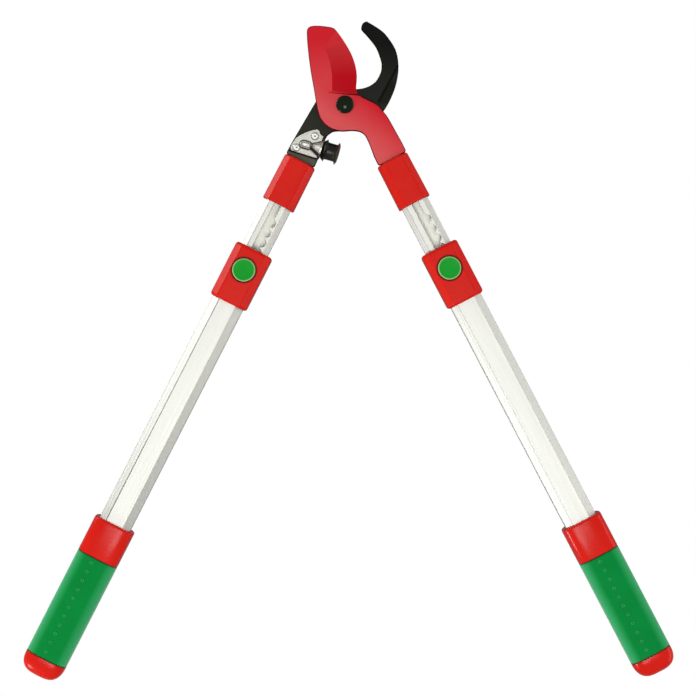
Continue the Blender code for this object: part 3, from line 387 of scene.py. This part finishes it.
def bolt_steel():
    s = Shader("bolt_gloss_black", (0.003, 0.008, 0.001), 0.12, specular=0.20)
    s.rough(s.grain(220.0, 0.09, 0.16))
    s.colour(s.mix(s.noise(60.0), (0.0015, 0.0060, 0.0004), (0.0040, 0.0110, 0.0010)))
    s.relief(s.noise(2600.0), 0.00001, 0.2)
    return s.material


def bright_steel():
    s = Shader("bright_steel_zinc", (0.72, 0.72, 0.67), 0.36, metallic=1.0)
    s.colour(s.mottle(140.0, (0.64, 0.64, 0.59), (0.78, 0.78, 0.72)))
    s.rough(s.grain(300.0, 0.32, 0.44, detail=4.0))
    s.relief(s.noise(900.0), 0.00001, 0.3)
    return s.material


def rivet_steel():
    """Bright rivet heads with painted shade in the dimple."""
    s = Shader("bright_steel_rivets", (0.92, 0.92, 0.87), 0.50, metallic=1.0)
    tone = s.mix(s.noise(200.0), (0.90, 0.90, 0.84), (0.97, 0.97, 0.92))
    x, y, _ = s.split(s.place())
    # Painted shade in each rivet's dimple.
    for point in RIVETS:
        tone = s.dim(tone, s.span(s.away(x, y, point), 0.0004, 0.0011, 0.30, 1.0))
    s.colour(tone)
    s.rough(s.grain(300.0, 0.46, 0.56))
    s.relief(s.noise(900.0), 0.00001, 0.2)
    return s.material


def pressed_steel():
    """Pressed sheet: painted highlights on the bead and the horn, painted shade on the bead and in the creases
    round them, the rivets and the lower edge.
    """
    s = Shader("bright_steel_pressed", (0.66, 0.66, 0.60), 0.36, metallic=1.0)
    gleam = (0.98, 0.98, 0.93)
    tone = s.mottle(140.0, (0.50, 0.50, 0.45), (0.62, 0.62, 0.56))
    x, y = s.stop_axes()

    away = s.length(s.most(s.minus(s.gap(x, BEAD_MIDDLE), BEAD_HALF), 0.0), y)
    # Painted shade on the bead's top and slopes, a painted highlight on its crown, and painted shade in the
    # creases round it.
    tone = s.dim(tone, s.span(away, 0.0028, 0.0034, 0.62, 1.0))
    tone = s.mix(s.span(s.gap(away, 0.0008), 0.0008, 0.0003), tone, (0.68, 0.68, 0.61))
    crown = s.length(s.minus(x, BEAD_MIDDLE - 0.0010), s.times(y, 1.6))
    tone = s.mix(s.span(crown, 0.0019, 0.0009), tone, gleam)
    tone = s.dim(tone, s.span(s.gap(away, 0.0017), 0.0007, 0.0002, 1.0, 0.45))
    tone = s.dim(tone, s.span(s.gap(away, 0.0038), 0.0009, 0.0003, 1.0, 0.16))

    # Painted highlight on the horn's crest, and painted shade along its sides.
    half = s.plus(s.times(s.minus(x, HORN_START), HORN_FLARE), HORN_SMALL)
    on_horn = s.span(x, HORN_START - 0.0005, HORN_START + 0.0010)
    crest = s.times(s.span(s.gap(x, -0.0040), 0.0032, 0.0015), s.span(s.gap(y, 0.0), 0.0024, 0.0008))
    tone = s.mix(crest, tone, gleam)
    below = s.span(s.gap(s.plus(y, half), 0.0009), 0.0024, 0.0012, 0.0, 0.9)
    above = s.span(s.gap(s.minus(half, y), 0.0001), 0.0011, 0.0005, 0.0, 0.85)
    tone = s.mix(s.times(on_horn, s.most(below, above)), tone, (0.045, 0.042, 0.038))

    # Painted shade in the creases round the rivets' feet, and a painted shadow along the lower edge.
    x, y, _ = s.split(s.place())
    for point in RIVETS:
        tone = s.dim(tone, s.span(s.gap(s.away(x, y, point), 0.0033), 0.0008, 0.0003, 1.0, 0.45))
    s.colour(s.dim(tone, s.span(s.past_bracket(), -0.0006, 0.0, 1.0, 0.03)))
    s.rough(s.grain(300.0, 0.34, 0.46, detail=4.0))
    s.relief(s.noise(900.0), 0.00001, 0.3)
    return s.material


def aluminium(side):
    """Drawn tube: streaks run along the arm, with fine dark lines along its left bevel, painted light inside,
    and painted shade on upright sides.
    """
    s = Shader(f"aluminium_drawn_{side}", (0.70, 0.70, 0.66), 0.55, metallic=1.0)
    streaks = s.place(turn=-ARMS[side][0], scale=(1.0, 0.008, 1.0))
    fine = s.noise(1700.0, streaks, detail=2.0)
    broad = s.noise(260.0, streaks, detail=2.0)
    tone = s.mix(s.span(broad, 0.3, 0.7), (0.680, 0.684, 0.640), (0.720, 0.724, 0.680))
    across, along, height = s.arm_axes(side)
    # The dark lines grow stronger farther from the pivot.
    line_gain = s.span(along, 0.34, 0.40, 1.0, 1.3)
    for place, half, strength in DARK_BEVEL_LINES[side]:
        line = s.times(s.span(s.gap(across, place), half, half * 0.35, 0.0, strength), line_gain)
        tone = s.mix(line, tone, (0.16, 0.16, 0.15))
    # Painted light on the upward faces inside the tubes, seen through the slot.
    inside = s.times(s.span(height, MID - 0.001, MID - 0.002), s.span(s.tilt(), 0.3, 0.5))
    tone = s.mix(inside, tone, (0.88, 0.88, 0.80))
    # Painted shade on upright sides.
    s.colour(s.dim(tone, s.span(s.flat(), 0.1, 0.55, 0.85, 1.0)))
    s.rough(s.span(fine, 0.3, 0.7, 0.52, 0.58))
    s.relief(fine, 0.00001, 0.12)
    return s.material


def red_plastic(name="red_plastic_moulded", side=None, specular=0.15, relief=0.2, upright=0.42, smooth=0.26):
    """Moulded red: painted shade on upright edges and in the ring round the button, and darker along the grip's
    two seams.
    """
    s = Shader(name, (0.70, 0.012, 0.005), smooth, specular=specular)
    tone = s.mottle(30.0, (0.65, 0.0075, 0.0026), (0.69, 0.0115, 0.0042))
    # Painted shade on upright edges.
    tone = s.dim(tone, s.span(s.flat(), 0.15, 0.55, upright, 1.0))
    if side:
        across, along, height = s.arm_axes(side)
        # Painted shade in a ring round the button's well, on the front only.
        ring = s.span(s.away(across, along, (0.0, BUTTON_PLACE)), 0.0112, 0.0131, 0.16, 1.0)
        tone = s.dim(tone, s.most(ring, s.span(height, MID, MID - 0.002)))
        tone = s.dim(tone, s.span(s.from_seam(along), 0.0003, 0.0012, 0.35, 1.0))
    s.colour(tone)
    s.rough(s.grain(120.0, smooth, smooth * 1.25, detail=4.0))
    s.relief(s.noise(1500.0), 0.00002, relief)
    return s.material


def button_plastic(side):
    """Green button with a painted highlight on its rim."""
    s = Shader(f"button_plastic_moulded_{side}", (0.010, 0.34, 0.03), 0.40, specular=0.05)
    centre = button_seat(side)
    x, y, height = s.split(s.place())
    tone = s.mix(s.noise(90.0, detail=4.0), (0.006, 0.315, 0.022), (0.012, 0.365, 0.030))
    # Painted highlight on the rim.
    rim = s.span(s.away(x, y, centre), 0.0092, 0.0104, 0.0, 0.80)
    tone = s.mix(rim, tone, (0.56, 0.62, 0.30))
    # Painted shade on the button's side below the rim.
    shaded_side = s.span(height, MID + BUTTON_TOP - 0.0012, MID + BUTTON_TOP - 0.0016)
    s.colour(s.mix(shaded_side, tone, (0.003, 0.10, 0.010)))
    s.rough(s.grain(200.0, 0.30, 0.44))
    s.relief(s.noise(1500.0), 0.00003, 0.4)
    return s.material


def grip_rubber(side):
    """Soft grip, with a painted sheen that makes its flanks paler, and darker beside its two seams."""
    s = Shader(f"grip_rubber_soft_{side}", (0.0, 0.28, 0.046), 0.50, specular=0.02)
    s.out.inputs["Sheen Weight"].default_value = 0.45
    s.out.inputs["Sheen Roughness"].default_value = 0.42
    s.out.inputs["Sheen Tint"].default_value = (0.80, 1.0, 0.90, 1.0)
    tone = s.mottle(40.0, (0.0, 0.232, 0.037), (0.0, 0.260, 0.045), detail=5.0)
    across, along, _ = s.arm_axes(side)
    # Painted sheen: paler toward both flanks.
    tone = s.mix(s.span(s.gap(across, 0.0), 0.0105, 0.0185), tone, (0.040, 0.38, 0.135))
    s.colour(s.dim(tone, s.span(s.from_seam(along), 0.0002, 0.0011, 0.30, 1.0)))
    s.rough(s.grain(150.0, 0.44, 0.58, detail=4.0))
    s.relief(s.noise(1100.0, detail=4.0), 0.00004, 0.5)
    return s.material


def nib_rubber():
    # A paler, glossier copy of the grip's rubber: painted highlight on the nibs.
    s = Shader("grip_rubber_nibs", (0.01, 0.31, 0.075), 0.30, specular=0.22)
    s.colour(s.mix(s.noise(160.0), (0.005, 0.27, 0.056), (0.020, 0.36, 0.100)))
    s.rough(s.grain(300.0, 0.22, 0.38))
    s.relief(s.noise(2000.0), 0.00002, 0.3)
    return s.material


def black_rubber():
    """Moulded stop: nearly black, with a patchy painted reflection on the front flange."""
    s = Shader("black_rubber_moulded", (0.006, 0.006, 0.004), 0.28, specular=0.30)
    tone = s.mix(s.noise(120.0, detail=4.0), (0.003, 0.003, 0.0015), (0.008, 0.008, 0.004))
    x, y = s.stop_axes()
    # Painted reflection on the front flange, brownish toward one side and olive toward the other.
    painted_reflection = s.times(s.span(x, 0.0118, 0.0134), s.span(s.noise(300.0), 0.40, 0.60, 0.2, 1.0))
    s.colour(s.mix(painted_reflection, tone, s.mix(s.span(y, -0.004, 0.002), (0.036, 0.040, 0.014), (0.055, 0.026, 0.012))))
    s.rough(s.grain(90.0, 0.28, 0.36))
    s.relief(s.noise(1300.0), 0.00004, 0.4)
    return s.material


def black_plastic():
    s = Shader("black_plastic_moulded", (0.02, 0.02, 0.02), 0.48)
    s.colour(s.mix(s.noise(80.0), (0.016, 0.016, 0.016), (0.028, 0.028, 0.028)))
    s.rough(s.grain(200.0, 0.42, 0.56))
    s.relief(s.noise(1400.0), 0.00005, 0.5)
    return s.material


# Mesh building

def arm_point(side, across, along, high):
    """A point in the row frame: across and along one arm, high above the tubes' middle."""
    angle, offset = ARMS[side]
    c = math.cos(angle)
    s = math.sin(angle)
    return ((offset + across) * c + along * s, (offset + across) * s - along * c, MID + high)


def button_seat(side):
    """The button's centre at the tubes' middle height."""
    return arm_point(side, 0.0, BUTTON_PLACE, 0.0)


def arm_ring(side, along, section):
    """A section of (across, high) points at one place along an arm."""
    return [arm_point(side, x, along, z) for x, z in section]


def solid(name, verts, faces):
    """A closed mesh object, its double points merged and its faces turned outward."""
    mesh = bpy.data.meshes.new(name)
    mesh.from_pydata(verts, [], faces)
    shell = bmesh.new()
    shell.from_mesh(mesh)
    bmesh.ops.remove_doubles(shell, verts=shell.verts, dist=SAME_POINT)
    bmesh.ops.recalc_face_normals(shell, faces=shell.faces)
    shell.to_mesh(mesh)
    shell.free()
    made = bpy.data.objects.new(name, mesh)
    bpy.context.scene.collection.objects.link(made)
    return made


def piece(name, verts, faces, finish, body, node, slot, sharp=30.0):
    """Makes a visible piece that rides on a body, in the place of a node where one is given."""
    made = solid(name, verts, faces)
    made.data.materials.append(finish)
    made.data.shade_smooth()
    made.data.set_sharp_from_angle(angle=math.radians(sharp))
    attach(made, body)
    if node:
        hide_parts(node)
    return made


def skin(rings, closed=False):
    """Faces between rings of points; the ends are capped, or joined when closed."""
    count = len(rings[0])
    verts = [p for ring in rings for p in ring]
    faces = []
    rows = len(rings) if closed else len(rings) - 1
    for i in range(rows):
        a = i * count
        b = (i + 1) % len(rings) * count
        for j in range(count):
            k = (j + 1) % count
            faces.append((a + j, a + k, b + k, b + j))
    if not closed:
        faces.append(tuple(range(count)))
        faces.append(tuple(range((len(rings) - 1) * count, len(rings) * count)))
    return verts, faces


def turned(profile, where, steps=72):
    """A profile of (radius, height) turned round the Z axis of a place, with its ends on the axis."""
    rings = []
    for radius, height in profile:
        ring = []
        for i in range(steps):
            t = math.tau * i / steps
            ring.append(tuple(where @ Vector((radius * math.cos(t), radius * math.sin(t), height))))
        rings.append(ring)
    return skin(rings)


def superellipse(grow=0.0, scale=1.0, count=72):
    """The grip's outline, grown outward and scaled."""
    a = (GRIP_WIDTH / 2 + grow) * scale
    b = (GRIP_HEIGHT / 2 + grow) * scale
    power = 2 / GRIP_SQUARENESS
    points = []
    for i in range(count):
        t = math.tau * (i + 0.5) / count
        c = math.cos(t)
        s = math.sin(t)
        points.append((math.copysign(abs(c) ** power * a, c), math.copysign(abs(s) ** power * b, s)))
    return points


def octagon(width, height, bevel, grow=0.0, lift=0.0):
    """Corners of a bevelled rectangle, grown outwards by grow and raised by lift."""
    a = width / 2 + grow
    b = height / 2 + grow
    c = bevel + grow * (2 - math.sqrt(2))
    corners = [
        (a, c - b), (a, b - c), (a - c, b), (c - a, b),
        (-a, b - c), (-a, c - b), (c - a, -b), (a - c, -b),
    ]
    return [Vector((x, z + lift)) for x, z in corners]


def rounded(corners, radius, steps=5):
    """The same outline with each corner turned into an arc."""
    made = []
    count = len(corners)
    for i, here in enumerate(corners):
        back = (corners[i - 1] - here).normalized()
        ahead = (corners[(i + 1) % count] - here).normalized()
        half = back.angle(ahead) / 2
        middle = here + (back + ahead).normalized() * radius / math.sin(half)
        start = here + back * radius / math.tan(half) - middle
        for k in range(steps + 1):
            turn = Matrix.Rotation((math.pi - 2 * half) * k / steps, 2)
            made.append(tuple(middle + turn @ start))
    return made


def carved(body, cutters):
    """Cuts the cutters out of a body, removes them all, and gives the points and faces that are left."""
    for cutter in cutters:
        cut = body.modifiers.new("Cut", "BOOLEAN")
        cut.object = cutter
        cut.solver = "EXACT"
    bpy.context.view_layer.update()
    mesh = bpy.data.meshes.new_from_object(body.evaluated_get(bpy.context.evaluated_depsgraph_get()))
    verts = [tuple(v.co) for v in mesh.vertices]
    faces = [tuple(f.vertices) for f in mesh.polygons]
    for spent in (body, *cutters):
        bpy.data.objects.remove(spent)
    bpy.data.meshes.remove(mesh)
    return verts, faces


def dress(node, finish, width=0.0, segments=2, angle=28.0):
    """A carried-over node: its points welded, its edges rounded, and a new finish."""
    obj = NODES[node]
    weld = obj.modifiers.new("Weld", "WELD")
    weld.merge_threshold = SAME_NODE_POINT
    if width:
        rim = obj.modifiers.new("Rounded edges", "BEVEL")
        rim.width = width
        rim.segments = segments
        rim.limit_method = "ANGLE"
        rim.angle_limit = math.radians(angle)
        rim.harden_normals = True
        rim.use_clamp_overlap = True
    for slot in obj.material_slots:
        slot.material = finish


# Camera, light and floor

def camera():
    """Straight above the tool, with the photograph's field at the tubes' middle height."""
    data = bpy.data.cameras.new("photo_camera")
    data.sensor_width = SENSOR
    data.lens = SENSOR * CAMERA_DISTANCE / CAMERA_FIELD
    made = bpy.data.objects.new("photo_camera", data)
    made.location = (*CAMERA_CENTRE, MID + CAMERA_DISTANCE)
    bpy.context.scene.collection.objects.link(made)
    bpy.context.scene.camera = made


def softbox(name, place, aim, width, height, power):
    data = bpy.data.lights.new(name, "AREA")
    data.shape = "RECTANGLE"
    data.size = width
    data.size_y = height
    data.energy = power
    made = bpy.data.objects.new(name, data)
    made.location = place
    made.rotation_euler = (Vector(aim) - Vector(place)).to_track_quat("-Z", "Y").to_euler()
    bpy.context.scene.collection.objects.link(made)


def seen_as(tree, lit, seen, surface):
    """Shows the camera one shader, while light meets another."""
    rays = tree.nodes.new("ShaderNodeLightPath")
    mixed = tree.nodes.new("ShaderNodeMixShader")
    tree.links.new(rays.outputs["Is Camera Ray"], mixed.inputs["Fac"])
    tree.links.new(lit, mixed.inputs[1])
    tree.links.new(seen, mixed.inputs[2])
    tree.links.new(mixed.outputs["Shader"], surface)


def studio():
    """A white tent that is brighter overhead, shown to the camera as plain white, and the softboxes."""
    world = bpy.data.worlds.new("white_tent")
    world.use_nodes = True
    tree = world.node_tree
    tent = tree.nodes["Background"]
    tent.inputs["Color"].default_value = TENT_COLOUR
    axes = tree.nodes.new("ShaderNodeSeparateXYZ")
    tree.links.new(tree.nodes.new("ShaderNodeTexCoord").outputs["Generated"], axes.inputs["Vector"])
    fade = tree.nodes.new("ShaderNodeMapRange")
    fade.inputs["From Min"].default_value = TENT_FADE_START
    fade.inputs["From Max"].default_value = TENT_FADE_END
    fade.inputs["To Min"].default_value = TENT_LOW
    fade.inputs["To Max"].default_value = TENT_HIGH
    tree.links.new(axes.outputs["Z"], fade.inputs["Value"])
    tree.links.new(fade.outputs["Result"], tent.inputs["Strength"])
    white = tree.nodes.new("ShaderNodeBackground")
    white.inputs["Color"].default_value = (1.0, 1.0, 1.0, 1.0)
    seen_as(tree, tent.outputs[0], white.outputs[0], tree.nodes["World Output"].inputs["Surface"])
    bpy.context.scene.world = world
    bpy.context.scene.view_settings.view_transform = "Standard"
    bpy.context.scene.view_settings.look = "None"
    for light in LIGHTS:
        softbox(*light)


def floor():
    """Pale grey paper that the camera sees as plain white."""
    mesh = bpy.data.meshes.new("floor")
    sheet = bmesh.new()
    bmesh.ops.create_grid(sheet, x_segments=8, y_segments=8, size=FLOOR_HALF)
    sheet.to_mesh(mesh)
    sheet.free()
    made = bpy.data.objects.new("floor", mesh)
    made.location = FLOOR_CENTRE
    bpy.context.scene.collection.objects.link(made)
    finish = bpy.data.materials.new("floor_white")
    finish.use_nodes = True
    tree = finish.node_tree
    paper = tree.nodes["Principled BSDF"]
    paper.inputs["Base Color"].default_value = PAPER_COLOUR
    paper.inputs["Roughness"].default_value = 0.9
    glow = tree.nodes.new("ShaderNodeEmission")
    seen_as(tree, paper.outputs[0], glow.outputs[0], tree.nodes["Material Output"].inputs["Surface"])
    mesh.materials.append(finish)


# Finer pieces

def grip_rings(side, stations):
    """The grip's outline at each (along, grow) station."""
    return [arm_ring(side, along, superellipse(grow)) for along, grow in stations]


def grip(side, red, green):
    """The hard core with its rolled top and domed cap, and the soft sleeve let into it."""
    body = f"{side}_handle"
    top = GRIP_SOFT_TOP
    low = GRIP_SOFT_BOTTOM
    rings = grip_rings(side, (
        (GRIP_TOP + 0.0006, -0.0080), (GRIP_TOP, -0.0021), (GRIP_TOP + 0.00015, -0.0012),
        (GRIP_TOP + 0.0006, -0.0005), (GRIP_TOP + 0.0013, -0.0001), (GRIP_TOP + 0.0022, 0.0),
        (top - 0.0009, 0.0), (top - 0.0005, -0.0001), (top - SEAT, -0.0005), (top - SEAT, -GRIP_RECESS),
        (low + SEAT, -GRIP_RECESS), (low + SEAT, -0.0005), (low + 0.0005, -0.0001), (low + 0.0009, 0.0),
    ))
    cap = GRIP_END - low
    shoulder = low + cap * CAP_SHOULDER
    for i in range(CAP_STEPS):
        t = CAP_TURN * i / (CAP_STEPS - 1)
        along = shoulder + cap * (1 - CAP_SHOULDER) * math.sin(t) / math.sin(CAP_TURN)
        rings.append(arm_ring(side, along, superellipse(0.0, math.cos(t) ** CAP_FULLNESS)))
    name = f"{side}_grip_core"
    piece(f"{name}_moulding", *skin(rings), red, body, name, "red_plastic", 40.0)

    even = [(top + (low - top) * i / SLEEVE_STEPS, 0.0) for i in range(1, SLEEVE_STEPS)]
    rings = grip_rings(side, (
        (top, -GRIP_SOFT_DEPTH), (top, -0.0004), (top + 0.0002, -0.0001), (top + 0.0007, 0.0), *even,
        (low - 0.0007, 0.0), (low - 0.0002, -0.0001), (low, -0.0004), (low, -GRIP_SOFT_DEPTH),
    ))
    name = f"{side}_grip_sleeve"
    piece(f"{name}_rubber", *skin(rings, closed=True), green, body, name, "grip_rubber", 40.0)


def nibs(side, green):
    """A row of small raised rings along the soft grip."""
    verts = []
    faces = []
    for i in range(NIB_COUNT):
        seat = arm_point(side, NIB_ACROSS, NIB_START + NIB_PITCH * i, GRIP_HEIGHT / 2 - NIB_SINK)
        points, sides = turned(NIB_PROFILE, Matrix.Translation(seat), 20)
        base = len(verts)
        verts += points
        faces += [tuple(base + k for k in face) for face in sides]
    piece(f"{side}_grip_nibs", verts, faces, green, f"{side}_handle", None, "grip_rubber", 50.0)


def collar(side, red):
    """The lock collar with rounded corners and ends, bored for both tubes and the button."""
    name = f"{side}_lock_collar"
    high = COLLAR_FRONT + COLLAR_BACK
    lift = (COLLAR_FRONT - COLLAR_BACK) / 2
    rings = []
    for end, way in ((COLLAR_TOP, 1), (COLLAR_BOTTOM, -1)):
        curve = []
        for k in range(7):
            t = math.radians(90) * k / 6
            inset = COLLAR_END_INSET * (1 - math.sin(t))
            section = rounded(octagon(COLLAR_WIDTH, high, COLLAR_BEVEL, -inset, lift), COLLAR_CORNER)
            curve.append(arm_ring(side, end + way * COLLAR_END_REACH * (1 - math.cos(t)), section))
        rings += curve[::way]
    body = solid(name, *skin(rings))
    guide = octagon(INNER_WIDTH, INNER_HEIGHT, INNER_BEVEL, SEAT)
    socket = octagon(OUTER_WIDTH, OUTER_HEIGHT, OUTER_BEVEL, SEAT)
    cutters = []
    for section, start in ((guide, COLLAR_TOP - BORE_OVERSHOOT), (socket, COLLAR_BOTTOM - COLLAR_SOCKET)):
        ends = [arm_ring(side, start, section), arm_ring(side, COLLAR_BOTTOM + BORE_OVERSHOOT, section)]
        cutters.append(solid("bore", *skin(ends)))
    where = Matrix.Translation(button_seat(side))
    for radius, low, top in ((WELL_RADIUS, WELL_FLOOR, 2 * COLLAR_FRONT), (KEY_WAY, 0.0, COLLAR_FRONT)):
        profile = ((0.0, top), (radius, top), (radius, low), (0.0, low))
        cutters.append(solid("well", *turned(profile, where)))
    made = piece(f"{name}_moulding", *carved(body, cutters), red, f"{side}_handle", name, "red_plastic")
    evened = made.modifiers.new("Even normals", "WEIGHTED_NORMAL")
    evened.keep_sharp = True


def rivet(index, finish):
    """A rivet with a soft dome and a dimple in front, and a flat head behind the hook."""
    seat = -HALF_PLAY + PLATE_THICKNESS + 2 * SEAT
    back = -HALF_PLAY - HOOK_THICKNESS - SEAT
    head = RIVET_HEAD
    rise = RIVET_RISE
    profile = (
        (0.0, seat + rise * 0.50), (0.0004, seat + rise * 0.52), (0.0007, seat + rise * 0.66),
        (0.0009, seat + rise * 0.88), (0.0011, seat + rise * 0.97), (0.0014, seat + rise),
        (0.0020, seat + rise * 0.94), (0.0025, seat + rise * 0.76), (0.0028, seat + rise * 0.56),
        (0.0030, seat + rise * 0.36), (head, seat + rise * 0.20), (head, seat), (RIVET_SHANK, seat),
        (RIVET_SHANK, back), (head, back), (head, back - rise * 0.35), (head * 0.8, back - rise * 0.7),
        (0.0, back - rise * 0.7),
    )
    where = Matrix.Translation((*RIVETS[index], MID))
    name = f"bracket_rivet_{index + 1}"
    piece(f"{name}_turned", *turned(profile, where, 40), finish, "hook_arm", name, "bright_steel", 40.0)


def button(side, finish):
    """The button: a shallow dish inside a rounded rim, hollow below."""
    r = BUTTON_RADIUS
    top = BUTTON_TOP
    skirt = BUTTON_FLOOR + BUTTON_SKIRT
    profile = (
        (0.0, top - 0.0005), (r * 0.25, top - 0.00048), (r * 0.45, top - 0.00044), (r * 0.6, top - 0.00036),
        (r * 0.75, top - 0.00024), (r - 0.0015, top - 0.00008), (r - 0.0011, top), (r - 0.0008, top - 0.00004),
        (r - 0.00045, top - 0.0002), (r - 0.0002, top - 0.0005), (r - 0.00005, top - 0.0008), (r, top - 0.0012),
        (r, skirt), (r - BUTTON_WALL, skirt), (r - BUTTON_WALL, top - BUTTON_SKIN), (0.0, top - BUTTON_SKIN),
    )
    name = f"{side}_lock_button"
    where = Matrix.Translation(button_seat(side))
    piece(f"{name}_cap", *turned(profile, where), finish, f"{side}_button", name, "button_plastic", 40.0)


def bolt(finish):
    """The pivot bolt: a domed head with an eased rim, and a plain shank down to the ground."""
    r = BOLT_RADIUS
    seat = HALF_PLAY + BLADE_THICKNESS + SEAT
    edge = seat + BOLT_RIM
    ball = (r * r + BOLT_DOME * BOLT_DOME) / (2 * BOLT_DOME)
    half = math.asin(r / ball)
    profile = []
    for i in range(14):
        t = half * i / 14
        profile.append((ball * math.sin(t), edge + BOLT_DOME - ball * (1 - math.cos(t))))
    profile += [
        (r - 0.0003, edge + 0.00017), (r - 0.00005, edge - 0.0001), (r, edge - 0.0004), (r, seat + 0.0002),
        (r - 0.0002, seat), (BOLT_SHANK, seat), (BOLT_SHANK, -MID), (0.0, -MID),
    ]
    where = Matrix.Translation((0.0, 0.0, MID))
    piece("pivot_bolt_turned", *turned(profile, where), finish, "hook_arm", "pivot_bolt", "black_steel", 35.0)


def bumper(finish):
    """The rubber stop: a spool with a lip at each end, bored for its pin."""
    front = BUMPER_FRONT
    back = BUMPER_BACK
    lip = BUMPER_LIP
    core = BUMPER_CORE
    profile = (
        (0.0, front), (core * 0.5, front - 0.00005), (core * 0.8, front - 0.0002), (core, front - 0.0004),
        (lip - 0.0008, front - 0.0013), (lip - 0.0002, front - 0.0017), (lip, front - 0.0020),
        (lip - 0.0001, front - 0.0022), (lip - 0.0004, front - 0.0023), (core + 0.0010, front - 0.0026),
        (core + 0.0004, front - 0.0030), (core + 0.0001, front - 0.0036), (core, front - 0.0042),
        (core, back + 0.0022), (core + 0.0001, back + 0.0016), (core + 0.0004, back + 0.0010),
        (core + 0.0010, back + 0.0006), (lip - 0.0004, back + 0.0003), (lip - 0.0001, back + 0.0002),
        (lip, back), (lip - 0.0002, back - 0.0003), (lip - 0.0008, back - 0.0006),
        (core + 0.0004, SEAT + 0.0006), (core - 0.0004, SEAT), (PIN_BORE, SEAT), (PIN_BORE, PIN_REACH),
        (0.0, PIN_REACH),
    )
    level = Matrix.Rotation(math.radians(90), 4, "Y")
    where = Matrix.Translation(STOP_SEAT) @ Matrix.Rotation(STOP_ANGLE, 4, "Z") @ level
    piece("bumper_moulding", *turned(profile, where), finish, "hook_arm", "bumper", "black_rubber", 35.0)


# The scene

camera()
studio()
floor()

BLACK = black_steel()
BRIGHT = bright_steel()
RIVET = rivet_steel()
RED = red_plastic()
NIBS = nib_rubber()
PACKING = black_plastic()

dress("blade", blade_paint(), 0.0005)
dress("hook", BLACK, 0.0006)
dress("pivot_washer", BRIGHT, 0.0002)
dress("pivot_nut", BLACK, 0.0002)
dress("bumper_bracket", pressed_steel(), 0.0003)
rivet(0, RIVET)
rivet(1, RIVET)
dress("bumper_pin", BRIGHT, 0.0002)
bolt(bolt_steel())
bumper(black_rubber())

for SIDE in ARMS:
    METAL = aluminium(SIDE)
    dress(f"{SIDE}_inner_tube", METAL, 0.0003)
    dress(f"{SIDE}_outer_tube", METAL, 0.0006, 3)
    dress(f"{SIDE}_sleeve", RED, 0.0006, 3)
    collar(SIDE, red_plastic(f"red_plastic_collar_{SIDE}", SIDE, specular=0.11))
    dress(f"{SIDE}_tang_packing", PACKING, 0.0002)
    dress(f"{SIDE}_tang_pin_1", BRIGHT, 0.0002)
    dress(f"{SIDE}_tang_pin_2", BRIGHT, 0.0002)
    dress(f"{SIDE}_tube_glide", PACKING, 0.0003)
    dress(f"{SIDE}_lock_key", BRIGHT, 0.0002)
    dress(f"{SIDE}_lock_spring", BRIGHT)
    dress(f"{SIDE}_collar_screw", BRIGHT, 0.0001)
    button(SIDE, button_plastic(SIDE))
    CORE = red_plastic(f"red_plastic_grip_{SIDE}", SIDE, specular=0.17, relief=0.010, upright=0.75, smooth=0.20)
    grip(SIDE, CORE, grip_rubber(SIDE))
    nibs(SIDE, NIBS)

bpy.context.view_layer.update()
